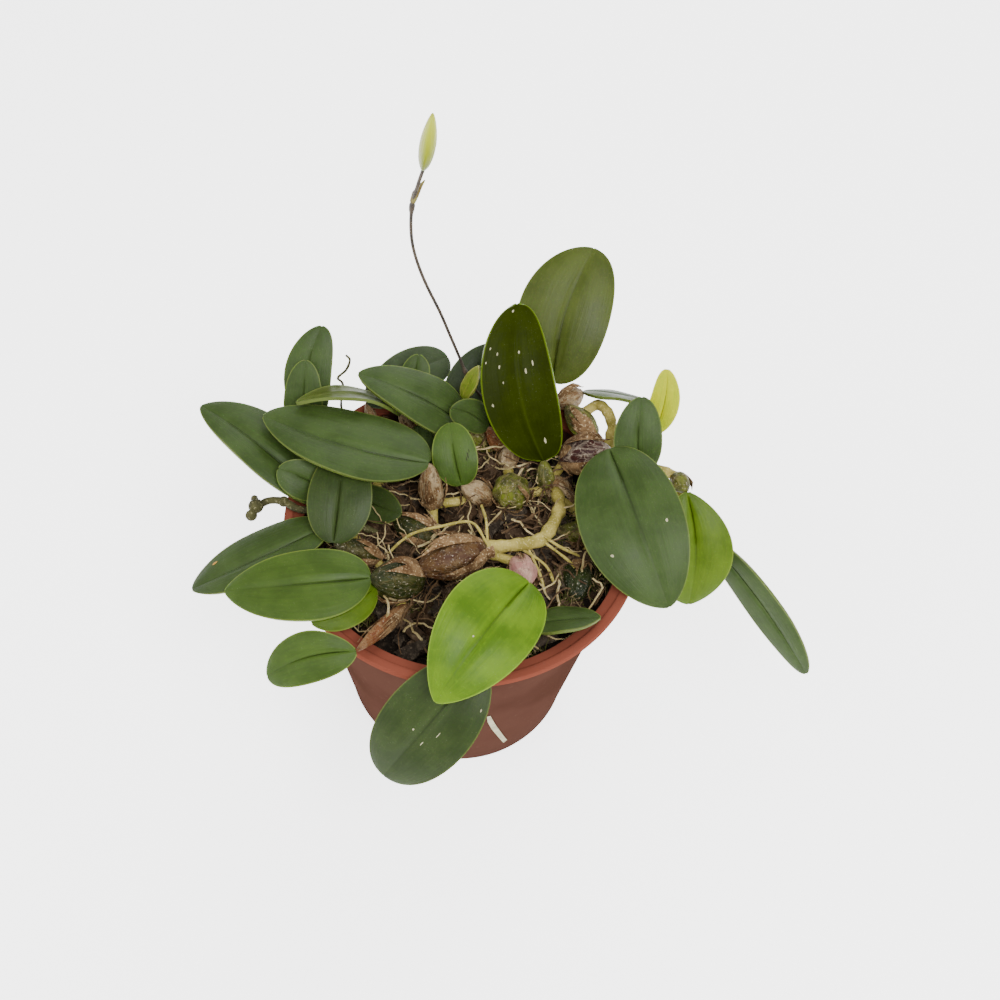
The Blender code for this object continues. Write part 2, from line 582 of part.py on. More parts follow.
def build_growth(parts):
    """Rhizome, pseudobulbs, old stems and roots, which grew as one piece."""
    pieces = new_collection("Growth pieces")
    bases = []
    for name in LEAVES:
        low, high, radius = bulb_under_leaf(name)
        add_object("bulb_" + name, bulb_mesh(low, high, radius), pieces)
        if name in BULBS_ON_RUNNERS:
            stem = (Vector(BULBS_ON_RUNNERS[name]), low + (high - low) * 0.35)
            add_object("stem_" + name, tube_mesh(stem, radius * 0.55), pieces)
        else:
            bases.append(low + (high - low) * 0.12)
    for name, (low, high, radius) in BARE_BULBS.items():
        low = Vector(low)
        high = Vector(high)
        add_object("bulb_" + name, bulb_mesh(low, high, radius, 7), pieces)
        bases.append(low + (high - low) * 0.12)
    first = tube_mesh(smooth_path(RUNNERS["main"][0]), RUNNERS["main"][1])
    for name, (points, radius) in RUNNERS.items():
        if name != "main":
            add_object(name, tube_mesh(smooth_path(points, 2), radius), pieces)
        if name in LINKED_RUNNERS:
            bases.append(Vector(points[0]))
    bases.insert(0, Vector(RUNNERS["main"][0][-1]))
    for number, (start, end) in enumerate(linking_runners(bases)):
        add_object(f"link_{number}", tube_mesh((start, end), 0.0016), pieces)
    growth = add_object("rhizome_with_pseudobulbs", first, parts,
                        make_material("pseudobulb_skin", BULB_COLOR, 0.6))
    add_boolean(growth, pieces, "UNION")
    bake(growth)
    for piece in list(pieces.objects):
        bpy.data.objects.remove(piece, do_unlink=True)
    bpy.data.collections.remove(pieces)
    keep_largest_body(growth.data)
    growth.data.materials.clear()
    growth.data.materials.append(bpy.data.materials["pseudobulb_skin"])
    return growth


def build_stalk(parts):
    path = smooth_path(STALK, 2)
    mesh = tube_mesh(path, STALK_RADIUS, "flower_stalk")
    add_object("flower_stalk", mesh, parts, make_material("stalk_skin", STALK_COLOR, 0.5))
    low = Vector(STALK[-1])
    high = Vector(BUD_TIP)
    axis = (high - low).normalized()
    bud = bulb_mesh(low + axis * GAP, high, BUD_RADIUS, 3)
    bud.shade_smooth()
    add_object("flower_bud", bud, parts, make_material("bud_skin", BUD_COLOR, 0.45))


def main():
    clear_scene()
    parts = new_collection("Bulbophyllum orchid in its pot")
    cutters = new_collection("Cutters")
    build_pot(parts, cutters)
    growth = build_growth(parts)
    build_mix(parts, growth)
    build_stalk(parts)
    for name, leaf in LEAVES.items():
        build_leaf(name, leaf, parts)


main()
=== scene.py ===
"""Looks of a bulbophyllum orchid in its nursery pot.

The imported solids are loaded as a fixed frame. Each operator below makes one kind of piece in the
same place and form as the solids, and adds what they leave out: veins, papery sheaths, fine roots,
moss, loose bark and the finishes.
"""
import math
import random

import bpy
from mathutils import Euler, Matrix, Vector, noise


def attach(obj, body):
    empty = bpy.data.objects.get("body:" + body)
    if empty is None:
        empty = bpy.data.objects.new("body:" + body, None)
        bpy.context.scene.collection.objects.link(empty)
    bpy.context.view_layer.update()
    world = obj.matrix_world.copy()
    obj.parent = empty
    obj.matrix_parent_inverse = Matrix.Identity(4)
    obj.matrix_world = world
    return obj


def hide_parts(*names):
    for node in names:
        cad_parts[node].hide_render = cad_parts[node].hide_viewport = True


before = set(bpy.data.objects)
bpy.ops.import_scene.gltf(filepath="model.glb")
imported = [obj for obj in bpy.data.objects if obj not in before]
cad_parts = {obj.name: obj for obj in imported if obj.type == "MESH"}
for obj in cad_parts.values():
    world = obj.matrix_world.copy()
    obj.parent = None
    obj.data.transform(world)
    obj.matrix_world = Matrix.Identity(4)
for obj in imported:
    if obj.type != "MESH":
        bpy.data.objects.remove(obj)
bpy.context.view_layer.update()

bl_info = {
    "name": "Potted Bulbophyllum",
    "version": (1, 0, 0),
    "blender": (4, 5, 0),
    "location": "3D View > Sidebar > Orchid",
    "description": "Builds the leaves, pseudobulbs, roots, bark, pot and studio of a potted orchid",
    "category": "Object",
}

# The pot, as in the solids.
RIM_RADIUS = 0.06
RIM_WIDTH = 0.0031
LIP_HEIGHT = 0.003
POT_HEIGHT = 0.105
POT_BASE_RADIUS = 0.0413
WALL_TOP_RADIUS = 0.0552
POT_WALL = 0.0016
POT_FLOOR = 0.003
DRAIN_HOLES = 6
DRAIN_RADIUS = 0.004
DRAIN_CIRCLE = 0.028
WALL_HEIGHT = 0.102

# The plant, as in the solids.
GOLDEN_ANGLE = 2.399963
PETIOLE_HALF_WIDTH = 0.0012
TIP_HALF_WIDTH = 0.0004
FOLD_RISE = 0.22
FOLD_DROOP = 0.24
LINK_RADIUS = 0.0017
TUFT_SPREAD = 0.0022
ROOT_STEP = 0.0016
ROOT_REACH = 0.0515
PLANTED_RADIUS = 0.051
TUFTS = 34
CHIP_SHAPES = 7


def in_metres(given):
    """Millimetres as metres, also inside tuples and tables."""
    if isinstance(given, dict):
        return {name: in_metres(row) for name, row in given.items()}
    if isinstance(given, tuple):
        return tuple(in_metres(item) for item in given)
    return round(given / 1000.0, 7)


# Each leaf, by its node's name without leaf_. In millimetres: foot, tip, width, rise of its middle
# above the line between them, and sideways bow. Then its roll about that line in degrees (0 has
# the upper face up), share of extra width on one side, where along it it is widest, and how blunt
# its tip and its foot are (a smaller power is blunter).
LEAVES = {
    "centre_left": ((-13.5, 14.5, 116), (-69.5, 23.5, 122), 28, 2.5, 4.5, 6, -0.15, 0.38, 0.62,
        0.45),
    "far_left": ((-48, 3, 104), (-92, 29, 117), 23, 5.5, 1, 8, -0.21, 0.42, 0.62, 0.5),
    "back_left_tall": ((-55.5, 31.5, 109), (-54, 56, 132), 16, 2, 3, 2, -0.04, 0.48, 0.5, 0.5),
    "back_left_small": ((-58, 29, 110), (-58, 44, 128), 13, 1, 0, 2, 0.03, 0.38, 0.5, 0.5),
    "back_left_arched": ((-25.5, 36, 113), (-59, 28, 125), 14, -5.5, 0, -146, 0.07, 0.3, 0.6, 0.5),
    "back_centre_left": ((-2, 37, 107), (-40, 41.5, 126), 22, 4, 0.5, 2, -0.04, 0.32, 0.65, 0.6),
    "back_blue": ((-38, 42.5, 109.5), (-12, 66, 108.5), 17, 2, 1.5, 28, -0.06, 0.55, 0.42, 0.5),
    "back_small": ((-22.5, 46.5, 112), (-21, 56.5, 120.5), 10, 0, 0, 4, -0.03, 0.45, 0.5, 0.6),
    "back_centre": ((-6, 44, 99), (5.5, 66.5, 117), 18, 2, 2, 14, -0.06, 0.45, 0.5, 0.5),
    "back_turned": ((25, 27, 106), (11.5, 64.5, 142), 25, -6, -4, 168, -0.03, 0.44, 0.45, 0.36),
    "back_right_tall": ((26.5, 57.5, 110.5), (36.5, 94.5, 140), 32, 3, 3, 8, 0.02, 0.48, 0.48, 0.5),
    "back_right_edge": ((37.5, 54.5, 110), (60.5, 50.5, 112), 18, 1, -2, -44, 0, 0.45, 0.6, 0.5),
    "right_yellow": ((61.5, 36, 114), (63.5, 48.5, 134), 10, 1, -1.5, 4, 0, 0.45, 0.5, 0.5),
    "right_upright": ((57.5, 19.5, 112), (55.5, 38, 131), 16, 2, 1, -4, 0, 0.45, 0.5, 0.6),
    "right_big": ((46.5, 23.5, 120), (68.5, -26.5, 106), 34, 7, 0, 14, -0.12, 0.48, 0.62, 0.45),
    "right_bright": ((74, 16.5, 109), (79, -10.5, 81), 26, 3, 2.5, 6, -0.04, 0.55, 0.65, 0.7),
    "right_hanging": ((84, 9, 93), (123, -24.5, 64), 14, 1, 3, 72, -0.04, 0.48, 0.45, 0.5),
    "front_bright": ((22.5, -28.5, 117), (-3, -69.5, 112), 30, 8, -1.5, -18, -0.05, 0.42, 0.72,
        0.4),
    "front_low": ((9.5, -54, 109), (-18, -80.5, 78), 29, 5, 0, -24, -0.01, 0.5, 0.45, 0.5),
    "front_right_small": ((24, -35, 101), (46.5, -34, 108), 14, 1, -0.5, -26, 0.05, 0.45, 0.75,
        0.5),
    "front_left_small": ((-29, -55, 112), (-56, -61, 102), 16, 3, -2.5, -32, 0, 0.5, 0.5, 0.6),
    "left_front": ((-28, -28, 110.5), (-74, -34, 104.5), 25, 4.5, 2, -4, 0.04, 0.38, 0.72, 0.45),
    "left_low": ((-44, -7.5, 107), (-86.5, -29.5, 95.5), 21, 4.5, 4, 12, -0.1, 0.45, 0.62, 0.5),
    "left_under": ((-26.5, -28.5, 105.5), (-44.5, -44.5, 108.5), 13, 1, 1, -28, 0, 0.45, 0.5, 0.5),
    "left_dark": ((-41.5, -15, 109), (-41.5, 14, 119), 21, 3, -0.5, 0, -0.02, 0.45, 0.5, 0.45),
    "left_inner": ((-39, 9.5, 101.5), (-21, 0, 106), 12, 0.5, -0.5, 32, 0.03, 0.5, 0.6, 0.5),
    "left_small": ((-46.5, 4.5, 110), (-62, 6, 118), 13, 1, -0.5, -36, 0.08, 0.5, 0.5, 0.5),
    "centre_upright": ((-2, 12.5, 108), (-7.5, 28.5, 120), 15, 2, 0.5, -10, 0, 0.45, 0.45, 0.42),
    "centre_small": ((4.5, 37, 108), (-8, 35, 120), 11, 0.5, -1.5, -46, 0, 0.5, 0.5, 0.5),
    "centre_new": ((-4.5, 45, 114), (0.5, 47, 129), 6, 1, -0.5, 18, -0.07, 0.45, 0.7, 0.5),
    "centre_hidden": ((-14, 24, 102), (-19.5, 37, 105), 10, 1, 0, -14, 0, 0.45, 0.5, 0.5),
}
LEAVES = {name: in_metres(row[:5]) + row[5:] for name, row in LEAVES.items()}

# Upright pseudobulbs under the leaves whose bulbs show: leaf, lower end and radius.
BULBS_WITH_LEAF = in_metres({
    "left_front": ((-11.5, -21, 101), 7), "left_dark": ((-26.5, -14, 99), 4.3),
    "centre_upright": ((8, 14, 98), 4.4), "centre_small": ((11.5, 35, 99), 3.6),
    "centre_left": ((-11, 8.5, 97), 4.5), "right_big": ((32, 32, 101), 6.4),
    "back_right_edge": ((28.5, 48.8, 110), 4.2), "front_bright": ((19, -11, 101), 4.6),
    "right_upright": ((57.5, 13, 108.8), 2.8), "right_yellow": ((60, 27, 110), 3),
    "right_bright": ((70, 24, 108.5), 3.4), "right_hanging": ((73.5, 19, 100), 3),
    "back_left_tall": ((-45, 22.5, 108.5), 2.7), "back_left_small": ((-47, 22.5, 108.5), 2.1),
    "back_blue": ((-33.5, 34, 101.5), 2.2), "back_small": ((-19.5, 39.5, 106), 2),
    "front_low": ((12, -39.5, 100), 3.2), "back_right_tall": ((21.5, 44, 106), 3),
    "back_left_arched": ((-21.5, 40, 98.5), 2.6), "centre_new": ((5, 42, 98), 2),
    "front_left_small": ((-15.2, -28.3, 97), 2.6),
})

# Pseudobulbs that have lost their leaf: lower end, upper end and radius.
BARE_BULBS = in_metres({
    "front_red": ((8.5, -10.5, 106), (-14, -21.5, 107), 7.4),
    "left_netted": ((-7.5, -4.5, 97), (-24, 0.5, 101), 5.6),
    "old_knot": ((16, 16, 96), (13.5, 14.5, 110), 6.6),
    "centre_white": ((13, 27, 98), (12, 32.5, 104), 3.4),
    "right_olive": ((42, 34.5, 110.5), (31.5, 46.4, 112), 4.8),
    "front_dark": ((40, -6, 95), (39, -22, 97), 5.8),
    "right_knobby": ((46.5, 4, 95), (31, 4.5, 97), 4.6),
    "right_dark": ((26.5, 26, 95), (37, 14.5, 98), 5.2),
})
HIDDEN_BULB_RADIUS = 0.0034
HIDDEN_BULB_SETBACK = 0.0075
HIDDEN_BULB_BASE = 0.096

# The thick bare rhizome, and old stems and roots, each as points along its line and a radius.
RUNNERS = in_metres({
    "main": (((8.5, -10, 106), (17.5, -8.8, 107), (25.6, -5.5, 106), (29.3, 0.8, 105.5),
        (31.8, 10.9, 102), (30, 20, 99)), 2.6),
    "rim_branch": (((38, 26, 103), (48, 25.5, 107.5), (57, 25, 108.2), (65, 24, 109.5),
        (71, 24, 106), (73.5, 20, 101)), 2.2),
    "left_branch": (((-30, 15, 99), (-40, 20, 105), (-47, 21.5, 108.5)), 2.4),
    "stalk_foot": (((5, 42, 98.5), (9, 43.2, 97.2), (12.6, 43.9, 96.7)), 1.2),
    "upright_branch": (((57, 25, 108.2), (58.2, 19, 108.6), (57.5, 14.5, 109)), 1.8),
    "old_stem": (((-29, -3, 97.5), (-39, -1, 100.5), (-46, -1.5, 106), (-54.8, -2.4, 107.5),
        (-60.2, -0.2, 108), (-65.5, -0.5, 108), (-69, -4, 108), (-70, -6, 108)), 1.4),
    "old_stem_fork": (((-68, -3, 108), (-70.5, 0.5, 108.5)), 1.3),
    "bent_shoot": (((37.9, 45.9, 109.5), (42.7, 48, 112), (46.2, 42.8, 114), (47.8, 38.4, 111),
        (47, 32.3, 109), (47, 26.5, 107.8)), 2.2),
    "tendril": (((-37, 30, 100), (-39.5, 33, 105.5), (-46.1, 39.3, 108), (-45.7, 42.6, 118),
        (-47.2, 42.4, 122), (-44.3, 43, 126), (-43, 44.2, 130), (-44.3, 44.6, 132)), 0.6),
    "root_left": (((8.4, -10, 108), (2.6, -4, 111), (-7.2, -7.5, 112.5), (-15.2, -9, 110),
        (-20, -10.5, 106), (-24, -12.5, 101)), 0.7),
    "root_up": (((5.3, 6, 106), (7.1, -1.3, 110), (7.9, -6, 109.5), (8.5, -9.5, 107)), 0.7),
    "root_right_far": (((26.6, -5, 108), (32.2, -8, 107), (39.4, -6.8, 100)), 0.7),
    "root_right": (((25.1, -5, 106.5), (34.4, -11, 105), (38.6, -12, 100)), 0.7),
    "root_front": (((19.2, -9, 106), (27.9, -13.7, 104), (31.6, -17.7, 99)), 0.7),
    "root_front_low": (((21.8, -8.5, 106), (26.5, -17.1, 103), (28.9, -21.2, 98)), 0.7),
})

# Flower stalk, from among the pseudobulbs up to the bud, and the bud's tip.
STALK = in_metres(((12, 44, 98.5), (8.5, 45.5, 104), (2.5, 47.5, 110.5), (-1.8, 49, 116),
    (-4.4, 50, 122), (-6.7, 51, 128.5), (-10.2, 51, 140), (-13.3, 49.7, 152), (-18, 47.8, 168),
    (-20.9, 45.9, 182), (-21.8, 43.8, 194), (-21.1, 41, 208), (-19.1, 38, 219), (-17.4, 35.7, 227)))
BUD_TIP = in_metres((-13.9, 26, 256))
BUD_RADIUS = 0.0023
# The bract under the bud: how far out and up each point is, and its radius.
BRACT = in_metres(((0, 0, 0.9), (0.8, 3, 1.1), (2.2, 6.2, 0.6), (3.4, 8.5, 0.2)))

# Which finish each leaf has; the rest are deep green. The dark finish is painted shade.
LEAF_FINISH = {
    "front_bright": "bright", "right_bright": "fresh", "right_yellow": "yellow",
    "back_turned": "turned", "back_right_tall": "olive", "back_blue": "blue",
    "back_centre": "blue", "centre_new": "young", "front_left_small": "mid",
    "left_front": "mid", "left_inner": "dark", "left_under": "fresh",
    "front_low": "dark", "centre_upright": "mid", "left_dark": "dark",
}
# Upper side, its lighter clouds, underside, and margin of each leaf finish.
LEAF_COLORS = {
    "deep": ((0.024, 0.042, 0.0085), (0.035, 0.059, 0.013), (0.04, 0.055, 0.008),
             (0.13, 0.16, 0.03)),
    # dark is the deep finish darkened to about seven tenths: painted shade on the leaves given it.
    "dark": ((0.017, 0.029, 0.0058), (0.026, 0.042, 0.009), (0.03, 0.04, 0.006),
             (0.1, 0.12, 0.022)),
    "mid": ((0.027, 0.051, 0.006), (0.041, 0.074, 0.009), (0.04, 0.058, 0.006), (0.16, 0.21, 0.03)),
    "bright": ((0.046, 0.1, 0.0016), (0.085, 0.16, 0.003), (0.05, 0.09, 0.003), (0.2, 0.28, 0.03)),
    "fresh": ((0.048, 0.086, 0.003), (0.072, 0.122, 0.005), (0.05, 0.085, 0.003),
              (0.18, 0.22, 0.03)),
    "yellow": ((0.25, 0.32, 0.001), (0.4, 0.4, 0.004), (0.38, 0.4, 0.01), (0.65, 0.6, 0.08)),
    "turned": ((0.02, 0.036, 0.002), (0.034, 0.055, 0.004), (0.0115, 0.017, 0.00005),
               (0.13, 0.2, 0.006)),
    "olive": ((0.036, 0.049, 0.0055), (0.052, 0.069, 0.009), (0.04, 0.05, 0.008),
              (0.14, 0.17, 0.03)),
    "blue": ((0.022, 0.034, 0.013), (0.033, 0.048, 0.02), (0.03, 0.042, 0.012), (0.1, 0.13, 0.045)),
    "young": ((0.085, 0.13, 0.01), (0.2, 0.21, 0.03), (0.08, 0.11, 0.01), (0.3, 0.27, 0.07)),
}

# Skin of each pseudobulb that shows: ground, second colour, stripes or net, how papery it is.
SKINS = {
    "green_striped": ((0.009, 0.0135, 0.0015), (0.02, 0.025, 0.003), (0.12, 0.092, 0.034), 0.22),
    "red_netted": ((0.036, 0.0114, 0.0036), (0.066, 0.0312, 0.0084), (0.192, 0.132, 0.066), 0.16),
    "papery": ((0.102, 0.051, 0.018), (0.168, 0.099, 0.039), (0.348, 0.264, 0.15), 0.6),
    "rust": ((0.102, 0.0252, 0.0066), (0.15, 0.054, 0.0162), (0.288, 0.18, 0.084), 0.4),
    "olive_knot": ((0.033, 0.0372, 0.0054), (0.102, 0.12, 0.0108), (0.216, 0.168, 0.072), 0.38),
    "purple_netted": ((0.0216, 0.006, 0.006), (0.042, 0.0132, 0.0102), (0.312, 0.252, 0.186), 0.46),
    "pink": ((0.306, 0.136, 0.119), (0.391, 0.23, 0.17), (0.476, 0.357, 0.255), 0.15),
    "dark_green": ((0.0054, 0.0114, 0.0018), (0.0156, 0.024, 0.003), (0.06, 0.048, 0.018), 0.15),
}
SKIN_OF = {
    "left_front": "green_striped", "left_dark": "green_striped",
    "centre_upright": "papery", "centre_small": "rust", "centre_left": "papery",
    "right_big": "purple_netted", "back_right_edge": "papery",
    "front_bright": "pink", "front_left_small": "rust", "front_red": "red_netted",
    "left_netted": "green_striped", "old_knot": "olive_knot", "centre_white": "papery",
    "right_olive": "olive_knot", "front_dark": "dark_green", "right_knobby": "olive_knot",
    "right_dark": "papery",
}


# Sizes and colours that a user may change

class OrchidSettings(bpy.types.PropertyGroup):
    """Sizes and counts of the plant's pieces."""
    leaf_thickness: bpy.props.FloatProperty(
        name="Leaf thickness", description="How thick a blade is", default=0.0011, unit="LENGTH")
    chips: bpy.props.IntProperty(
        name="Bark chips", description="Loose chips on the mix", default=240, min=0)
    moss: bpy.props.IntProperty(
        name="Moss strands", description="Strands of moss and hair root", default=1200, min=0)
    roots: bpy.props.IntProperty(
        name="Fine roots", description="Fine roots among the pseudobulbs", default=300, min=0)
    sheaths: bpy.props.IntProperty(
        name="Sheaths", description="Torn papery sheaths a pseudobulb carries", default=5, min=0)
    bed_height: bpy.props.FloatProperty(
        name="Bark level", description="Height of the bark between the plants", default=0.0965,
        unit="LENGTH")


class StudioSettings(bpy.types.PropertyGroup):
    """The stage's light and floor."""
    floor_color: bpy.props.FloatVectorProperty(
        name="Floor", description="Colour of the floor", default=(0.94, 0.94, 0.94),
        subtype="COLOR", size=3)
    key_power: bpy.props.FloatProperty(
        name="Key light", description="Power of the large soft light", default=19.0, unit="POWER")
    sky: bpy.props.FloatProperty(
        name="Surround", description="Strength of the white surround", default=0.85)


# Finishes

class Value:
    """A socket that takes part in Python sums."""

    def __init__(self, finish, socket):
        self.finish = finish
        self.socket = socket

    def sum(self, operation, first, second):
        """The value of one Math node."""
        return self.finish.value("ShaderNodeMath", {"operation": operation}, {0: first, 1: second})

    def __add__(self, other):
        return self.sum("ADD", self, other)

    __radd__ = __add__

    def __sub__(self, other):
        return self.sum("SUBTRACT", self, other)

    def __rsub__(self, other):
        return self.sum("SUBTRACT", other, self)

    def __mul__(self, other):
        return self.sum("MULTIPLY", self, other)

    __rmul__ = __mul__

    def __abs__(self):
        return self.sum("ABSOLUTE", self, 0.0)


class Finish:
    """One material with its nodes."""

    def __init__(self, name, roughness, specular, coat=0.0, subsurface=0.0):
        self.material = bpy.data.materials.new(name)
        self.material.use_nodes = True
        self.nodes = self.material.node_tree.nodes
        self.links = self.material.node_tree.links
        self.shader = self.nodes["Principled BSDF"]
        self.shader.inputs["Roughness"].default_value = roughness
        self.shader.inputs["Specular IOR Level"].default_value = specular
        self.shader.inputs["Coat Weight"].default_value = coat
        self.shader.inputs["Coat Roughness"].default_value = 0.25
        self.shader.inputs["Subsurface Weight"].default_value = subsurface
        self.shader.inputs["Subsurface Scale"].default_value = 0.002
        self.shader.inputs["Subsurface Radius"].default_value = (0.4, 1.0, 0.15)

    def node(self, kind, settings, sockets):
        made = self.nodes.new(kind)
        for key, setting in settings.items():
            setattr(made, key, setting)
        for key, given in sockets.items():
            self.feed(made.inputs[key], given)
        return made

    def feed(self, socket, given):
        if isinstance(given, Value):
            self.links.new(given.socket, socket)
        elif isinstance(given, tuple) and len(given) == 3 and socket.type == "RGBA":
            socket.default_value = given + (1.0,)
        else:
            socket.default_value = given

    def value(self, kind, settings, sockets, out=0):
        return Value(self, self.node(kind, settings, sockets).outputs[out])

    def place(self):
        return self.value("ShaderNodeTexCoord", {}, {}, "Object")

    def uv(self, name):
        read = self.value("ShaderNodeUVMap", {"uv_map": name}, {})
        split = self.node("ShaderNodeSeparateXYZ", {}, {0: read})
        return Value(self, split.outputs[0]), Value(self, split.outputs[1])

    def vector(self, x, y, z=0.0):
        return self.value("ShaderNodeCombineXYZ", {}, {0: x, 1: y, 2: z})

    def noise(self, scale, detail=3.0, where=None, twist=0.0):
        return self.value("ShaderNodeTexNoise", {"noise_dimensions": "3D"},
                          {"Vector": where or self.place(), "Scale": scale, "Detail": detail,
                           "Roughness": 0.55, "Distortion": twist})

    def cells(self, where):
        """Distance to the nearest border of a net of cells."""
        return self.value("ShaderNodeTexVoronoi", {"feature": "DISTANCE_TO_EDGE"},
                          {"Vector": where, "Scale": 1.0})

    def band(self, given, low, high):
        return self.value("ShaderNodeMapRange", {"interpolation_type": "SMOOTHSTEP"},
                          {0: given, 1: low, 2: high, 3: 0.0, 4: 1.0})

    def mix(self, share, first, second):
        return self.value("ShaderNodeMix", {"data_type": "RGBA"},
                          {0: share, 6: first, 7: second}, 2)

    def color(self, given):
        self.feed(self.shader.inputs["Base Color"], given)

    def rough(self, given):
        self.feed(self.shader.inputs["Roughness"], given)

    def bump(self, height, depth, strength=1.0):
        relief = self.value("ShaderNodeBump", {}, {"Height": height, "Distance": depth,
                                                   "Strength": strength})
        self.feed(self.shader.inputs["Normal"], relief)


def leaf_finish(name, ground, cloud, margin, under, shine=0.13):
    """Waxy leathery blade: long fine veins, soft clouds, a pale margin, and on the upper side
    painted shade in the groove with a painted highlight beside it.
    """
    leaf = Finish(name, 0.45, shine, 0.0, 0.1 if shine > 0.1 else 0.0)
    across, along = leaf.uv("Blade")
    edge = leaf.uv("Margin")[0]
    off = abs(across - 0.5) * 2.0
    vein_place = leaf.vector(across * 30.0 + leaf.noise(60.0, 1.0) * 1.6, along * 2.4)
    veins = leaf.noise(1.0, 3.0, vein_place)
    clouds = leaf.noise(95.0, 3.0)
    fine = leaf.noise(900.0, 2.0)
    tone = leaf.mix(leaf.band(clouds + (veins - 0.5) * 0.3, 0.3, 0.72), ground, cloud)
    tone = leaf.mix(leaf.band(veins, 0.56, 0.78) * 0.22, tone, cloud)
    tone = leaf.mix(leaf.band(fine, 0.58, 0.72) * 0.16, tone, tuple(c * 1.7 for c in cloud))
    groove = (1.0 - leaf.band(off, 0.004, 0.05)) * (1.0 - leaf.band(along, 0.15, 0.85) * 0.85)
    if under:
        tone = leaf.mix(groove * 0.5, tone, tuple(c * 1.8 for c in cloud))
    else:
        # On the upper side, painted shade darkens the midrib groove, and a painted highlight
        # lightens a band on each side of it towards the foot.
        dark = tuple(c * 0.42 for c in ground)
        tone = leaf.mix(groove * 0.62, tone, dark)
        lit = (1.0 - leaf.band(abs(off - 0.13), 0.0, 0.08)) * (1.0 - leaf.band(along, 0.25, 0.8))
        tone = leaf.mix(lit * 0.22, tone, tuple(c * 1.5 for c in cloud))
    rim = 1.0 - leaf.band(edge, 0.004, 0.017)
    tone = leaf.mix(rim * 0.48, tone, margin)
    dust = leaf.band(leaf.noise(2600.0, 1.0), 0.7, 0.76) * leaf.band(clouds, 0.4, 0.6)
    tone = leaf.mix(dust * 0.16, tone, (0.3, 0.33, 0.22))
    leaf.color(tone)
    leaf.rough(leaf.band(clouds, 0.25, 0.8) * 0.14 + 0.38 + dust * 0.2)
    leaf.bump(veins * 0.5 + clouds * 0.7 + fine * 0.12 - groove * 0.6, 0.0005, 0.55)
    return leaf.material


def skin_finish(name, ground, second, stripe, papery):
    """Wrinkled pseudobulb with papery stripes, a net of fibres and speckles."""
    skin = Finish(name, 0.55, 0.18)
    round_it, up = skin.uv("Skin")
    wobble = skin.noise(160.0, 3.0)
    clouds = skin.noise(260.0, 4.0)
    fibres = skin.noise(1.0, 3.0, skin.vector(round_it * 34.0 + wobble * 3.0, up * 3.0))
    net = skin.cells(skin.vector(round_it * 20.0 + wobble * 2.4, up * 9.0))
    stripes = skin.band(fibres, 0.5, 0.66)
    tone = skin.mix(skin.band(clouds, 0.38, 0.62), ground, second)
    tone = skin.mix(stripes * papery, tone, stripe)
    lines = (1.0 - skin.band(net, 0.0, 0.075)) * skin.band(clouds, 0.3, 0.55)
    tone = skin.mix(lines * papery * 1.3, tone, stripe)
    torn = skin.band(skin.noise(210.0, 4.0), 0.6 - papery * 0.18, 0.66 - papery * 0.16)
    tone = skin.mix(torn * papery, tone, stripe)
    speck = skin.band(skin.noise(1500.0, 2.0), 0.62, 0.7)
    tone = skin.mix(speck * 0.45, tone, (0.55, 0.48, 0.38))
    dark = skin.band(skin.noise(420.0, 2.0), 0.58, 0.74)
    tone = skin.mix(dark * 0.55, tone, tuple(c * 0.25 for c in ground))
    foot = 1.0 - skin.band(up, 0.0, 0.16)
    tone = skin.mix(foot * 0.5, tone, (0.05, 0.03, 0.018))
    skin.color(tone)
    skin.rough(stripes * 0.2 + 0.42 + speck * 0.1)
    skin.bump(fibres * 0.8 + clouds * 0.6 + torn * 0.5 + lines * 0.4 - dark * 0.4, 0.0007, 0.8)
    return skin.material


# Bark of the bed and of the three groups of chips: ground, second and third colour.
BARKS = (
    # The bed's near-black colours are damp bark darkened further with painted shade in the gaps
    # between the plants.
    ((0.004, 0.003, 0.002), (0.012, 0.008, 0.005), (0.03, 0.021, 0.013)),
    ((0.014, 0.008, 0.004), (0.036, 0.02, 0.01), (0.09, 0.058, 0.032)),
    ((0.03, 0.018, 0.01), (0.07, 0.044, 0.026), (0.15, 0.11, 0.07)),
    ((0.018, 0.013, 0.009), (0.045, 0.034, 0.024), (0.12, 0.095, 0.066)),
)


def bark_finish(name, ground, second, third):
    """Damp bark with layered grain and dusty edges."""
    bark = Finish(name, 0.85, 0.08)
    clouds = bark.noise(140.0, 4.0)
    grain = bark.noise(700.0, 4.0, twist=0.6)
    tone = bark.mix(bark.band(clouds, 0.38, 0.62), ground, second)
    tone = bark.mix(bark.band(grain, 0.52, 0.68) * 0.6, tone, third)
    tone = bark.mix(bark.band(bark.noise(1900.0, 2.0), 0.62, 0.72) * 0.5, tone, (0.14, 0.11, 0.07))
    bark.color(tone)
    bark.rough(clouds * 0.3 + 0.62)
    bark.bump(grain + clouds * 0.6, 0.0009, 0.9)
    return bark.material


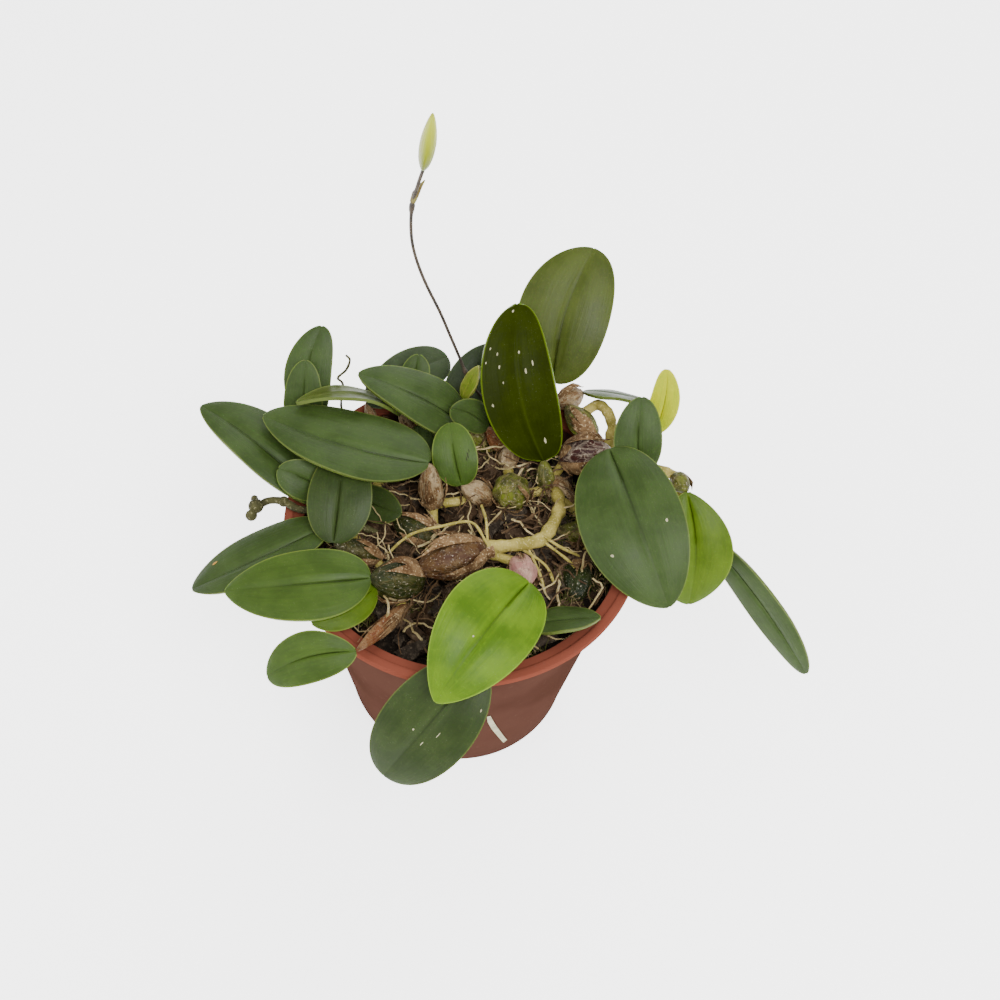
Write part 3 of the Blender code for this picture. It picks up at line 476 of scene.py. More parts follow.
# Fibrous finishes: ground, second and third colour, and roughness.
FIBRES = {
    "mark_speck": ((0.26, 0.25, 0.15), (0.38, 0.36, 0.23), (0.52, 0.47, 0.32), 0.7),
    "mark_scar": ((0.34, 0.16, 0.03), (0.46, 0.28, 0.06), (0.56, 0.42, 0.16), 0.7),
    "mark_scratch": ((0.012, 0.014, 0.005), (0.02, 0.022, 0.008), (0.035, 0.034, 0.014), 0.7),
    "rhizome_skin": ((0.2, 0.165, 0.032), (0.33, 0.27, 0.07), (0.54, 0.45, 0.2), 0.6),
    "old_stem_skin": ((0.025, 0.024, 0.008), (0.055, 0.052, 0.018), (0.24, 0.22, 0.12), 0.75),
    "dry_sheath": ((0.07, 0.034, 0.012), (0.175, 0.105, 0.048), (0.6, 0.46, 0.27), 0.7),
    "pale_root": ((0.24, 0.18, 0.075), (0.4, 0.32, 0.16), (0.58, 0.5, 0.32), 0.6),
    "brown_root": ((0.04, 0.022, 0.01), (0.085, 0.05, 0.024), (0.16, 0.105, 0.055), 0.6),
    "moss_strand": ((0.022, 0.028, 0.004), (0.05, 0.055, 0.009), (0.11, 0.1, 0.03), 0.8),
    "hair_root": ((0.1, 0.065, 0.03), (0.2, 0.15, 0.08), (0.36, 0.29, 0.18), 0.8),
    "stalk_dark": ((0.03, 0.024, 0.02), (0.06, 0.045, 0.032), (0.1, 0.085, 0.05), 0.5),
    "bract_skin": ((0.1, 0.07, 0.022), (0.16, 0.14, 0.04), (0.26, 0.24, 0.08), 0.55),
}


def fibre_finish(name, ground, second, third, roughness):
    """Roots, stems and sheaths: patchy dry fibres."""
    fibre = Finish(name, roughness, 0.15)
    clouds = fibre.noise(190.0, 3.0)
    fine = fibre.noise(1400.0, 3.0)
    tone = fibre.mix(fibre.band(clouds, 0.36, 0.62), ground, second)
    tone = fibre.mix(fibre.band(fine, 0.54, 0.7) * 0.6, tone, third)
    fibre.color(tone)
    fibre.rough(fine * 0.2 + roughness - 0.1)
    fibre.bump(fine + clouds * 0.5, 0.0004, 0.8)
    return fibre.material


def pot_finish():
    """Terracotta-brown moulded plastic, a little dusty, with fine turning marks and a painted
    highlight on the rim.
    """
    pot = Finish("pot_plastic_finish", 0.55, 0.0)
    place = pot.place()
    split = pot.node("ShaderNodeSeparateXYZ", {}, {0: place})
    height = Value(pot, split.outputs[2])
    clouds = pot.noise(26.0, 3.0)
    dust = pot.noise(420.0, 4.0)
    rings = pot.noise(1.0, 2.0, pot.vector(height * 900.0, clouds * 0.6))
    # Everything above the lip's lower edge is painted lighter and redder: a painted highlight on
    # the rim.
    lip = pot.band(height, POT_HEIGHT - LIP_HEIGHT - 0.0004, POT_HEIGHT - LIP_HEIGHT + 0.0003)
    wall = pot.mix(pot.band(clouds, 0.35, 0.65), (0.049, 0.0215, 0.015), (0.062, 0.028, 0.02))
    tone = pot.mix(lip, wall, (0.15, 0.042, 0.026))
    tone = pot.mix(pot.band(dust, 0.6, 0.74) * 0.2, tone, (0.11, 0.06, 0.046))
    low = 1.0 - pot.band(height, 0.0, 0.03)
    tone = pot.mix(low * 0.15, tone, (0.075, 0.04, 0.03))
    pot.color(tone)
    pot.rough(dust * 0.2 + 0.24 + (1.0 - lip) * 0.28)
    pot.bump(rings * 0.5 + dust * 0.3, 0.0002, 0.35)
    return pot.material


def bud_finish():
    """Waxy closed bud, green at its foot and yellow at its tip, with faint long lines."""
    bud = Finish("bud_wax", 0.42, 0.25, 0.03, 0.15)
    round_it, up = bud.uv("Skin")
    lines = bud.noise(1.0, 2.0, bud.vector(round_it * 16.0, up * 1.5))
    tone = bud.mix(bud.band(up + (lines - 0.5) * 0.3, 0.05, 0.85), (0.075, 0.097, 0.0012),
                   (0.3, 0.325, 0.004))
    tone = bud.mix(bud.band(lines, 0.52, 0.66) * 0.5, tone, (0.18, 0.205, 0.006))
    tone = bud.mix((1.0 - bud.band(up, 0.02, 0.14)) * 0.8, tone, (0.05, 0.04, 0.02))
    bud.color(tone)
    bud.bump(lines, 0.0004, 0.5)
    return bud.material


# Making pieces

def fresh():
    """Object mode with nothing selected."""
    if bpy.context.mode != "OBJECT":
        bpy.ops.object.mode_set(mode="OBJECT")
    bpy.ops.object.select_all(action="DESELECT")


def active():
    return bpy.context.view_layer.objects.active


def pick(obj):
    """Selects the object alone and makes it the active one."""
    fresh()
    obj.select_set(True)
    bpy.context.view_layer.objects.active = obj


def apply_all(obj):
    """Applies the piece's modifiers in their order."""
    pick(obj)
    for modifier in list(obj.modifiers):
        bpy.ops.object.modifier_apply(modifier=modifier.name)


def thicken(obj, thickness, offset=0.0, under=0):
    """Gives a sheet its thickness; under is the finish of its far side."""
    wall = obj.modifiers.new("Thickness", "SOLIDIFY")
    wall.thickness = thickness
    wall.offset = offset
    wall.material_offset = under
    apply_all(obj)


def weld(threshold):
    """Merges the active piece's doubles and turns its faces outwards."""
    bpy.ops.object.mode_set(mode="EDIT")
    bpy.ops.mesh.select_all(action="SELECT")
    bpy.ops.mesh.remove_doubles(threshold=threshold)
    bpy.ops.mesh.normals_make_consistent(inside=False)
    fresh()


def linked_object(name, data):
    """An object for the data, in the scene."""
    made = bpy.data.objects.new(name, data)
    bpy.context.scene.collection.objects.link(made)
    return made


def around(radius, angle, height=0.0):
    """A point at a radius and an angle about the pot's axis."""
    return Vector((radius * math.cos(angle), radius * math.sin(angle), height))


def wall_radius(height):
    """Radius of the pot's outer wall."""
    return POT_BASE_RADIUS + (WALL_TOP_RADIUS - POT_BASE_RADIUS) * height / WALL_HEIGHT


def finish_piece(obj, name, material, node=None, smooth=35.0):
    """Names the piece, gives it its finish and lets it ride on the root."""
    obj.name = name
    obj.data.name = name
    if material:
        obj.data.materials.clear()
        obj.data.materials.append(material)
    if smooth:
        pick(obj)
        bpy.ops.object.shade_smooth_by_angle(angle=math.radians(smooth))
    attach(obj, "root")
    if node:
        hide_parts(node)
    fresh()
    return obj


def fibre_piece(obj, name, fibre, node=None, smooth=60.0):
    """Finishes a piece with one of the fibrous finishes."""
    finish_piece(obj, name, fibre_finish(fibre, *FIBRES[fibre]), node, smooth)


def joined(objects):
    """One object out of several."""
    fresh()
    for obj in objects:
        obj.select_set(True)
    bpy.context.view_layer.objects.active = objects[0]
    bpy.ops.object.join()
    return active()


def strands(name, lines, sides=1):
    """Tubes along many lines of (point, radius), made a mesh as one piece."""
    curve = bpy.data.curves.new(name, "CURVE")
    curve.dimensions = "3D"
    curve.bevel_depth = 1.0
    curve.bevel_resolution = sides
    curve.use_fill_caps = True
    for line in lines:
        spline = curve.splines.new("POLY")
        spline.points.add(len(line) - 1)
        for point, (place, radius) in zip(spline.points, line):
            point.co = (place[0], place[1], place[2], 1.0)
            point.radius = radius
    pick(linked_object(name, curve))
    bpy.ops.object.convert(target="MESH")
    weld(0.00001)
    return active()


def smooth_path(points, steps=6):
    """Points on a Catmull-Rom curve through the given ones."""
    places = [Vector(p) for p in points]
    ends = [places[0] * 2.0 - places[1]] + places + [places[-1] * 2.0 - places[-2]]
    path = []
    for i in range(len(places) - 1):
        a, b, c, d = ends[i:i + 4]
        for step in range(steps):
            t = step / steps
            path.append(0.5 * ((2.0 * b) + (c - a) * t + (2.0 * a - 5.0 * b + 4.0 * c - d) * t ** 2
                               + (3.0 * b - a - 3.0 * c + d) * t ** 3))
    path.append(places[-1])
    return path


def knotted(points, radius, lumps=0.18, seed=0.0, steps=6):
    """A stem's line with a radius that swells and thins."""
    path = smooth_path(points, steps)
    count = len(path) - 1
    return [(place, radius * (1.0 + lumps * noise.noise(place * 420.0 + Vector((seed, 0, 0))))
             * (1.0 if index < count else 0.6)) for index, place in enumerate(path)]


# Leaves

def leaf_frame(leaf):
    """Foot, tip, the line between them, the upper side and the sideways direction."""
    foot = Vector(leaf[0])
    tip = Vector(leaf[1])
    line = (tip - foot).normalized()
    upper = (Vector((0.0, 0.0, 1.0)) - line * line.z).normalized()
    upper = Matrix.Rotation(math.radians(leaf[5]), 3, line) @ upper
    return foot, tip, line, upper, upper.cross(line)


def leaf_outline(along, widest, tip_power, foot_power):
    """Half width at a share of the length, as a share of the greatest half width."""
    if along < widest:
        return max(0.0, 1.0 - ((widest - along) / widest) ** 2) ** foot_power
    return max(0.0, 1.0 - ((along - widest) / (1.0 - widest)) ** 2) ** tip_power


def leaf_point(leaf, along, across):
    """A point on the blade and its half width there."""
    foot, tip, line, upper, side = leaf_frame(leaf)
    width, rise, bow, roll, lean, widest, tip_power, foot_power = leaf[2:]
    middle = (foot + tip) / 2.0 + upper * rise + side * bow
    control = middle * 2.0 - (foot + tip) / 2.0
    spine = foot * (1.0 - along) ** 2 + control * (2.0 * along * (1.0 - along)) + tip * along ** 2
    share = leaf_outline(along, widest, tip_power, foot_power)
    half = share * width / 2.0 * (1.0 + lean * (1.0 if across > 0.0 else -1.0))
    half = max(half, PETIOLE_HALF_WIDTH if along < 0.5 else TIP_HALF_WIDTH)
    wing = abs(across)
    relief = half * (FOLD_RISE * wing - FOLD_DROOP * wing * wing)
    # A sharper groove near the foot and a slow wave along the margins.
    relief -= min(0.001, half * 0.1) * math.exp(-(across / 0.1) ** 2) * (1.0 - along) ** 0.7
    wave = math.sin(along * 9.0 + foot.x * 400.0 + (2.0 if across > 0.0 else 0.0))
    relief += 0.00035 * wave * wing ** 3 * math.sin(math.pi * along)
    return spine + side * (half * across) + upper * relief, half


def make_leaf(name, leaf, thickness, finishes):
    """A blade from a grid, finer at its foot and tip, with one finish for each side."""
    bpy.ops.mesh.primitive_grid_add(x_subdivisions=22, y_subdivisions=44, size=2.0)
    obj = active()
    mesh = obj.data
    blade = mesh.uv_layers[0]
    blade.name = "Blade"
    margin = mesh.uv_layers.new(name="Margin")
    halves = {}
    for vert in mesh.vertices:
        across = -vert.co.x
        along = (1.0 - math.cos(math.pi * (vert.co.y + 1.0) / 2.0)) / 2.0
        place, half = leaf_point(leaf, along, across)
        halves[vert.index] = (across, along, half)
        vert.co = place
    for loop in mesh.loops:
        across, along, half = halves[loop.vertex_index]
        blade.data[loop.index].uv = ((across + 1.0) / 2.0, along)
        margin.data[loop.index].uv = (half * (1.0 - abs(across)) * 30.0, along)
    for finish in finishes:
        mesh.materials.append(finish)
    thicken(obj, thickness, 0.0, 1)
    finish_piece(obj, f"leaf_{name}_blade", None, "leaf_" + name, 60.0)


class ORCHID_OT_leaves(bpy.types.Operator):
    """Builds each blade over its solid"""
    bl_idname = "orchid.leaves"
    bl_label = "Leaves"

    def execute(self, context):
        made = {}
        for finish, (ground, cloud, under, margin) in LEAF_COLORS.items():
            made[finish] = (leaf_finish(f"leaf_{finish}_upper", ground, cloud, margin, False),
                            leaf_finish(f"leaf_{finish}_under", under,
                                        tuple(c * 1.5 for c in under), margin, True,
                                        0.03 if finish == "turned" else 0.13))
        for name, leaf in LEAVES.items():
            make_leaf(name, leaf, context.scene.orchid.leaf_thickness,
                      made[LEAF_FINISH.get(name, "deep")])
        return {"FINISHED"}


# Pale specks, scratches and a scar: leaf, side of the blade (1 upper, -1 under), and for each mark
# its place along and across the blade, its half length and half width.
MARKS = (
    ("back_turned", -1, "speck", (
        (0.96, -0.2, 0.0007, 0.0005), (0.76, -0.8, 0.0008, 0.0004), (0.68, -0.88, 0.0005, 0.0003),
        (0.72, -0.55, 0.0008, 0.0004), (0.71, 0.08, 0.0008, 0.0005), (0.64, -0.48, 0.0009, 0.0004),
        (0.54, -0.4, 0.0006, 0.0003), (0.63, 0.48, 0.0014, 0.0004), (0.59, 0.24, 0.0015, 0.0005),
        (0.41, -0.78, 0.0008, 0.0005), (0.13, 0.36, 0.0016, 0.0006))),
    ("right_big", 1, "speck", ((0.64, -0.66, 0.0008, 0.0008), (0.55, 0.58, 0.0009, 0.0006))),
    ("front_bright", 1, "speck", ((0.57, -0.16, 0.0005, 0.0004),)),
    ("front_low", 1, "speck", ((0.58, -0.2, 0.0005, 0.0004), (0.21, 0.8, 0.0008, 0.0004),
                                    (0.5, 0.3, 0.0016, 0.0002), (0.62, 0.16, 0.0012, 0.0002))),
    ("left_low", 1, "scar", ((0.79, -0.66, 0.0013, 0.0006),)),
    ("centre_upright", 1, "scratch", ((0.46, -0.58, 0.0016, 0.00025), (0.4, -0.5, 0.0011, 0.0002),
                                           (0.52, -0.66, 0.001, 0.0002))),
)
MARK_SCALE = 0.7
# Corners of the pale flake that sticks to the pot's wall, as angle and height.
WALL_FLAKE = ((-1.3, 0.0545), (-1.275, 0.055), (-1.215, 0.042), (-1.165, 0.033), (-1.08, 0.0185),
              (-1.055, 0.015), (-1.085, 0.013), (-1.175, 0.027), (-1.24, 0.038), (-1.285, 0.048))


def make_mark(corners):
    """A thin flake over the given corners."""
    fresh()
    bpy.ops.mesh.primitive_circle_add(vertices=len(corners), fill_type="NGON")
    flake = active()
    for vert, corner in zip(flake.data.vertices, corners):
        vert.co = corner
    return flake


class ORCHID_OT_marks(bpy.types.Operator):
    """Builds the specks, scratches and scar on the blades, and the flake on the pot"""
    bl_idname = "orchid.marks"
    bl_label = "Marks"

    def execute(self, context):
        lift = context.scene.orchid.leaf_thickness / 2.0 + 0.00006
        groups = {"speck": [], "scar": [], "scratch": []}
        for name, face, kind, marks in MARKS:
            leaf = LEAVES[name]
            for number, (along, across, half_length, half_width) in enumerate(marks):
                middle = leaf_point(leaf, along, across)[0]
                ahead = (leaf_point(leaf, along + 0.01, across)[0] - middle).normalized()
                beside = (leaf_point(leaf, along, across + 0.02)[0] - middle).normalized()
                out = beside.cross(ahead).normalized() * -face
                if out.dot(leaf_frame(leaf)[3]) * face < 0.0:
                    out = -out
                corners = []
                for step in range(10):
                    turn = math.tau * step / 10.0
                    ragged = 1.0 + 0.35 * noise.noise(
                        Vector((step * 1.7, number * 2.3, middle.x * 500.0)))
                    corners.append(middle + out * lift
                                   + ahead * (math.cos(turn) * half_length * MARK_SCALE * ragged)
                                   + beside * (math.sin(turn) * half_width * MARK_SCALE * ragged))
                groups[kind].append(make_mark(corners))
        groups["speck"].append(make_mark([around(wall_radius(height) + 0.0003, angle, height)
                                          for angle, height in WALL_FLAKE]))
        for kind, marks in groups.items():
            piece = joined(marks)
            thicken(piece, 0.0001)
            fibre_piece(piece, "marks_" + kind, "mark_" + kind, smooth=0.0)
        return {"FINISHED"}


# Pseudobulbs and rhizome

def bulb_under_leaf(name):
    """Lower end, upper end and radius of the pseudobulb that carries the leaf."""
    leaf = LEAVES[name]
    foot, tip, line = leaf_frame(leaf)[:3]
    if name in BULBS_WITH_LEAF:
        place, radius = BULBS_WITH_LEAF[name]
        low = Vector(place)
    else:
        level = Vector((line.x, line.y, 0.0)).normalized()
        low = foot - level * HIDDEN_BULB_SETBACK
        low.z = min(HIDDEN_BULB_BASE, foot.z - 0.004)
        radius = HIDDEN_BULB_RADIUS
    return low, foot, radius


def bare_bulbs():
    """The same of each pseudobulb that has lost its leaf."""
    return [(Vector(low), Vector(high), radius) for low, high, radius in BARE_BULBS.values()]


def make_bulb(low, high, radius, ribs, seed):
    """A wrinkled, ribbed egg drawn out to a neck."""
    axis = high - low
    length = axis.length
    turn = axis.to_track_quat("Z", "Y").to_matrix()
    fresh()
    bpy.ops.mesh.primitive_uv_sphere_add(segments=36, ring_count=22, radius=1.0)
    obj = active()
    obj.data.uv_layers[0].name = "Skin"
    for vert in obj.data.vertices:
        height = (vert.co.z + 1.0) / 2.0
        angle = math.atan2(vert.co.y, vert.co.x)
        girth = math.hypot(vert.co.x, vert.co.y)
        neck = 1.0 - 0.45 * height ** 3
        rib = 1.0 + 0.055 * math.cos(ribs * angle + height * 1.4)
        lump = Vector((math.cos(angle) * 1.4, math.sin(angle) * 1.4, height * 3.0 + seed * 7.3))
        rib *= 1.0 + 0.07 * noise.noise(lump) + 0.03 * noise.noise(lump * 3.1)
        local = Vector((math.cos(angle), math.sin(angle), 0.0)) * (girth * radius * neck * rib)
        local.z = height * length
        vert.co = low + turn @ local
    return obj


class ORCHID_OT_bulbs(bpy.types.Operator):
    """Builds the pseudobulbs, grouped by skin"""
    bl_idname = "orchid.bulbs"
    bl_label = "Pseudobulbs"

    def execute(self, context):
        groups = {}
        for number, name in enumerate(LEAVES):
            low, high, radius = bulb_under_leaf(name)
            skin = SKIN_OF.get(name, "olive_knot" if number % 2 else "papery")
            groups.setdefault(skin, []).append(make_bulb(low, high, radius, 5, number))
        for number, (name, (low, high, radius)) in enumerate(BARE_BULBS.items()):
            bulb = make_bulb(Vector(low), Vector(high), radius, 7, 40 + number)
            groups.setdefault(SKIN_OF.get(name, "papery"), []).append(bulb)
        for skin, bulbs in groups.items():
            piece = joined(bulbs)
            finish_piece(piece, "pseudobulbs_" + skin, skin_finish("skin_" + skin, *SKINS[skin]),
                         "rhizome_with_pseudobulbs", 70.0)
        return {"FINISHED"}


class ORCHID_OT_rhizome(bpy.types.Operator):
    """Builds the bare rhizome, the runners, the old stem, the tendril and the thick roots"""
    bl_idname = "orchid.rhizome"
    bl_label = "Rhizome and runners"

    def execute(self, context):
        pale = []
        dark = []
        for number, (name, (points, radius)) in enumerate(RUNNERS.items()):
            line = knotted(points, radius * (0.86 if radius > 0.001 else 0.7), 0.3, number * 3.7)
            (dark if name in ("old_stem", "old_stem_fork", "tendril") else pale).append(line)
        bases = [low + (high - low) * 0.12
                 for low, high, radius in [*map(bulb_under_leaf, LEAVES), *bare_bulbs()]]
        for start, near in linking_runners([Vector(RUNNERS["main"][0][-1])] + [
                base for base in bases if math.hypot(base.x, base.y) < PLANTED_RADIUS]):
            middle = (start + near) / 2.0
            pale.append(knotted((start, middle, near), LINK_RADIUS, 0.3, near.x * 900.0, 4))
        fibre_piece(strands("rhizome_straw", pale, 5), "rhizome_straw", "rhizome_skin")
        for centre, size in KNOBS:
            dark.append([(Vector(centre) + Vector((0, 0, size * (t - 0.5) * 2.0)),
                          size * math.sin(math.pi * (0.12 + 0.76 * t))) for t in
                         (0.0, 0.15, 0.3, 0.5, 0.7, 0.85, 1.0)])
        fibre_piece(strands("old_stems", dark, 4), "old_stems", "old_stem_skin")
        return {"FINISHED"}


def linking_runners(bases):
    """Thin rhizome from each base to the nearest one that is already linked."""
    linked = [bases[0]]
    waiting = list(bases[1:])
    links = []
    while waiting:
        near, start = min(((w, l) for w in waiting for l in linked),
                          key=lambda pair: (pair[0] - pair[1]).length)
        links.append((start, near))
        linked.append(near)
        waiting.remove(near)
    return links


# Swollen ends of the dried stem, the tendril's knob: centre and radius.
KNOBS = in_metres((((-69, -3, 108.2), 2.6), ((-70, -6.5, 107.8), 2),
                   ((-60.2, -0.2, 108), 1.9), ((-43.8, 34.5, 105.5), 2.8)))


class ORCHID_OT_sheaths(bpy.types.Operator):
    """Builds torn papery sheaths round the pseudobulbs"""
    bl_idname = "orchid.sheaths"
    bl_label = "Papery sheaths"

    def execute(self, context):
        draw = random.Random(11)
        bulbs = [bulb_under_leaf(name) for name in LEAVES if name in BULBS_WITH_LEAF]
        bulbs += bare_bulbs()
        pieces = []
        for low, high, radius in bulbs:
            axis = high - low
            turn = axis.to_track_quat("Z", "Y").to_matrix()
            for count in range(context.scene.orchid.sheaths):
                middle = draw.uniform(0.0, math.tau)
                spread = draw.uniform(0.16, 0.62)
                foot = draw.uniform(-0.06, 0.1)
                reach = draw.uniform(0.25, 0.8)
                loose = draw.uniform(1.03, 1.12)
                shift = draw.uniform(0.0, 50.0)
                fresh()
                bpy.ops.mesh.primitive_grid_add(x_subdivisions=8, y_subdivisions=8, size=2.0)
                shard = active()
                for vert in shard.data.vertices:
                    t = (vert.co.y + 1.0) / 2.0
                    ragged = 0.6 * noise.noise(Vector((vert.co.x * 2.2, shift, 0.0)))
                    height = foot + reach * t * (1.0 + ragged)
                    narrow = 1.0 - 0.55 * t * t
                    angle = middle + spread * vert.co.x * narrow
                    swell = max(0.25, 1.0 - ((min(max(height, 0.0), 1.0) - 0.5) / 0.5) ** 2) ** 0.5
                    girth = radius * swell * (loose + 0.16 * t ** 3)
                    girth *= 1.0 + 0.05 * noise.noise(Vector((angle * 3.0, height * 4.0, shift)))
                    vert.co = low + turn @ around(girth, angle, height * axis.length)
                pieces.append(shard)
        piece = joined(pieces)
        thicken(piece, 0.00018)
        fibre_piece(piece, "papery_sheaths", "dry_sheath")
        return {"FINISHED"}


class ORCHID_OT_roots(bpy.types.Operator):
    """Builds fine roots that wander between the pseudobulbs"""
    bl_idname = "orchid.roots"
    bl_label = "Fine roots"

    def execute(self, context):
        draw = random.Random(23)
        level = context.scene.orchid.bed_height
        groups = {"pale": [], "brown": []}
        for number in range(context.scene.orchid.roots):
            angle = GOLDEN_ANGLE * number
            reach = 0.048 * math.sqrt(draw.random())
            place = around(reach, angle, level + draw.uniform(0.001, 0.009))
            heading = draw.uniform(0.0, math.tau)
            line = []
            size = draw.uniform(0.00018, 0.00045)
            for step in range(draw.randint(8, 15)):
                line.append((place.copy(), size * (1.0 - step * 0.03)))
                heading += draw.uniform(-0.55, 0.55)
                place += around(1.0, heading, draw.uniform(-0.6, 0.45)) * ROOT_STEP
                place.z = min(max(place.z, level - 0.001), level + 0.011)
                out = math.hypot(place.x, place.y)
                if out > ROOT_REACH:
                    place.x *= ROOT_REACH / out
                    place.y *= ROOT_REACH / out
            groups["pale" if number % 3 == 0 else "brown"].append(line)
        for kind, lines in groups.items():
            fibre_piece(strands(kind + "_roots", lines, 0), kind + "_roots", kind + "_root")
        return {"FINISHED"}


# Bark mix

def chip_shapes():
    """A few chips, each a cube cut up and roughened."""
    shapes = []
    for number in range(CHIP_SHAPES):
        fresh()
        bpy.ops.mesh.primitive_cube_add(size=1.0)
        chip = active()
        bpy.ops.object.mode_set(mode="EDIT")
        bpy.ops.mesh.select_all(action="SELECT")
        bpy.ops.mesh.subdivide(number_cuts=3)
        fresh()
        for vert in chip.data.vertices:
            rough = noise.noise_vector(vert.co * 1.7 + Vector((number * 9.1, 0, 0)))
            fine = noise.noise_vector(vert.co * 6.0 + Vector((0, number * 5.3, 0)))
            vert.co += rough * 0.34 + fine * 0.09
            vert.co.z *= 0.75
        shapes.append(chip)
    return shapes


class ORCHID_OT_bark(bpy.types.Operator):
    """Builds the bark bed and the loose chips on it"""
    bl_idname = "orchid.bark"
    bl_label = "Bark mix"

    def execute(self, context):
        level = context.scene.orchid.bed_height
        edge = wall_radius(level) - POT_WALL - 0.0003
        fresh()
        bpy.ops.mesh.primitive_grid_add(x_subdivisions=80, y_subdivisions=80, size=2.0)
        bed = active()
        for vert in bed.data.vertices:
            x, y = vert.co.x, vert.co.y
            flat = Vector((x * math.sqrt(1.0 - y * y / 2.0),
                           y * math.sqrt(1.0 - x * x / 2.0), 0.0)) * edge
            inner = 1.0 - min(1.0, flat.length / edge) ** 8
            flat.z = level - 0.003 + inner * (0.0016 * noise.noise(flat * 130.0)
                                              + 0.0012 * noise.noise(flat * 420.0))
            vert.co = flat
        thicken(bed, 0.006, -1.0)
        # The bed's near-black bark finish holds painted shade in the gaps between the plants.
        finish_piece(bed, "bark_bed", bark_finish("bark_dark", *BARKS[0]), "potting_mix",
                     60.0)
        draw = random.Random(5)
        shapes = chip_shapes()
        groups = ([], [], [])
        for number in range(context.scene.orchid.chips):
            angle = GOLDEN_ANGLE * number
            reach = (edge - 0.005) * math.sqrt((number + 0.5) / context.scene.orchid.chips)
            size = draw.uniform(0.0035, 0.0085)
            place = (Matrix.Translation(
                around(reach, angle, level - 0.0015 + draw.uniform(-0.001, 0.0022)))
                     @ Euler((draw.uniform(-0.6, 0.6), draw.uniform(-0.6, 0.6),
                              draw.uniform(0.0, 6.2))).to_matrix().to_4x4()
                     @ Matrix.Diagonal((size * 1.3, size * 0.75, size * 0.42, 1.0)))
            source = shapes[number % len(shapes)]
            copy = linked_object("chip", source.data.copy())
            copy.data.transform(place)
            groups[number % 3].append(copy)
        for number, chips in enumerate(groups, 1):
            finish_piece(joined(chips), f"bark_chips_{number}",
                         bark_finish(f"bark_chip_{number}", *BARKS[number]), None, 50.0)
        for shape in shapes:
            bpy.data.objects.remove(shape, do_unlink=True)
        return {"FINISHED"}


class ORCHID_OT_moss(bpy.types.Operator):
    """Builds tufts of moss and hair roots on the bark"""
    bl_idname = "orchid.moss"
    bl_label = "Moss"

    def execute(self, context):
        draw = random.Random(31)
        level = context.scene.orchid.bed_height
        tufts = [(draw.uniform(0.0, math.tau), 0.03 + 0.021 * draw.random()) for _ in range(TUFTS)]
        green = []
        hair = []
        for number in range(context.scene.orchid.moss):
            angle, reach = tufts[number % len(tufts)]
            root = around(reach, angle, level + 0.0004)
            root += Vector((draw.gauss(0, TUFT_SPREAD), draw.gauss(0, TUFT_SPREAD),
                            draw.uniform(0.0, 0.0015)))
            if math.hypot(root.x, root.y) > PLANTED_RADIUS:
                root *= 0.96
                root.z = level + 0.0004
            lean = Vector((draw.uniform(-1, 1), draw.uniform(-1, 1), draw.uniform(0.2, 1.3)))
            bend = Vector((draw.uniform(-1, 1), draw.uniform(-1, 1), draw.uniform(-0.8, 0.3)))
            size = draw.uniform(0.0022, 0.005)
            line = [(root + lean * size * t * 0.6 + bend * size * t * t * 0.6,
                     0.00022 * (1.0 - 0.75 * t)) for t in (0.0, 0.35, 0.7, 1.0)]
            (green if number % 3 else hair).append(line)
        fibre_piece(strands("moss", green, 0), "moss", "moss_strand", None)
        fibre_piece(strands("hair_roots", hair, 0), "hair_roots", "hair_root", None)
        return {"FINISHED"}


# Pot

class ORCHID_OT_pot(bpy.types.Operator):
    """Turns the pot with its rolled lip and cuts its drain holes"""
    bl_idname = "orchid.pot"
    bl_label = "Pot"

    def execute(self, context):
        lip = POT_HEIGHT - LIP_HEIGHT
        top = POT_HEIGHT
        rim = RIM_RADIUS
        inner = RIM_RADIUS - RIM_WIDTH
        wall = WALL_TOP_RADIUS
        base = POT_BASE_RADIUS
        profile = [
            (0.0, POT_FLOOR), (base - POT_WALL - 0.002, POT_FLOOR),
            (base - POT_WALL - 0.0004, POT_FLOOR + 0.0006),
            (base - POT_WALL + 0.0004, POT_FLOOR + 0.003), (wall - POT_WALL, lip + 0.0008),
            (wall - POT_WALL + 0.0006, lip + 0.0013), (inner - 0.0006, top - 0.0013),
            (inner, top - 0.0009), (inner + 0.0003, top - 0.0003),
            (inner + 0.0008, top - 0.00005), (inner + 0.0014, top), (rim - 0.0009, top - 0.00005),
            (rim - 0.0003, top - 0.0003), (rim, top - 0.0009), (rim, lip + 0.0006),
            (rim - 0.0003, lip + 0.0001), (rim - 0.0008, lip), (wall + 0.0006, lip),
            (wall + 0.0001, lip - 0.0003), (wall - 0.0002, lip - 0.001), (base + 0.0009, 0.006),
            (base + 0.0006, 0.0022), (base + 0.0001, 0.0006), (base - 0.0006, 0.0), (0.0, 0.0),
        ]
        mesh = bpy.data.meshes.new("pot_wall")
        mesh.from_pydata([(r, 0.0, z) for r, z in profile],
                         [(i, i + 1) for i in range(len(profile) - 1)], [])
        pot = linked_object("pot_wall", mesh)
        screw = pot.modifiers.new("Turn", "SCREW")
        screw.steps = 160
        screw.render_steps = 160
        screw.use_merge_vertices = True
        screw.merge_threshold = 0.00002
        apply_all(pot)
        weld(0.00002)
        for index in range(DRAIN_HOLES):
            angle = math.tau * (index + 0.37) / DRAIN_HOLES
            bpy.ops.mesh.primitive_cylinder_add(vertices=28, radius=DRAIN_RADIUS, depth=0.012,
                                                location=around(DRAIN_CIRCLE, angle))
            hole = active()
            cut = pot.modifiers.new("Drain", "BOOLEAN")
            cut.operation = "DIFFERENCE"
            cut.solver = "EXACT"
            cut.object = hole
            apply_all(pot)
            bpy.data.objects.remove(hole, do_unlink=True)
        finish_piece(pot, "pot_wall", pot_finish(), "pot", 32.0)
        return {"FINISHED"}


# Flower stalk and bud

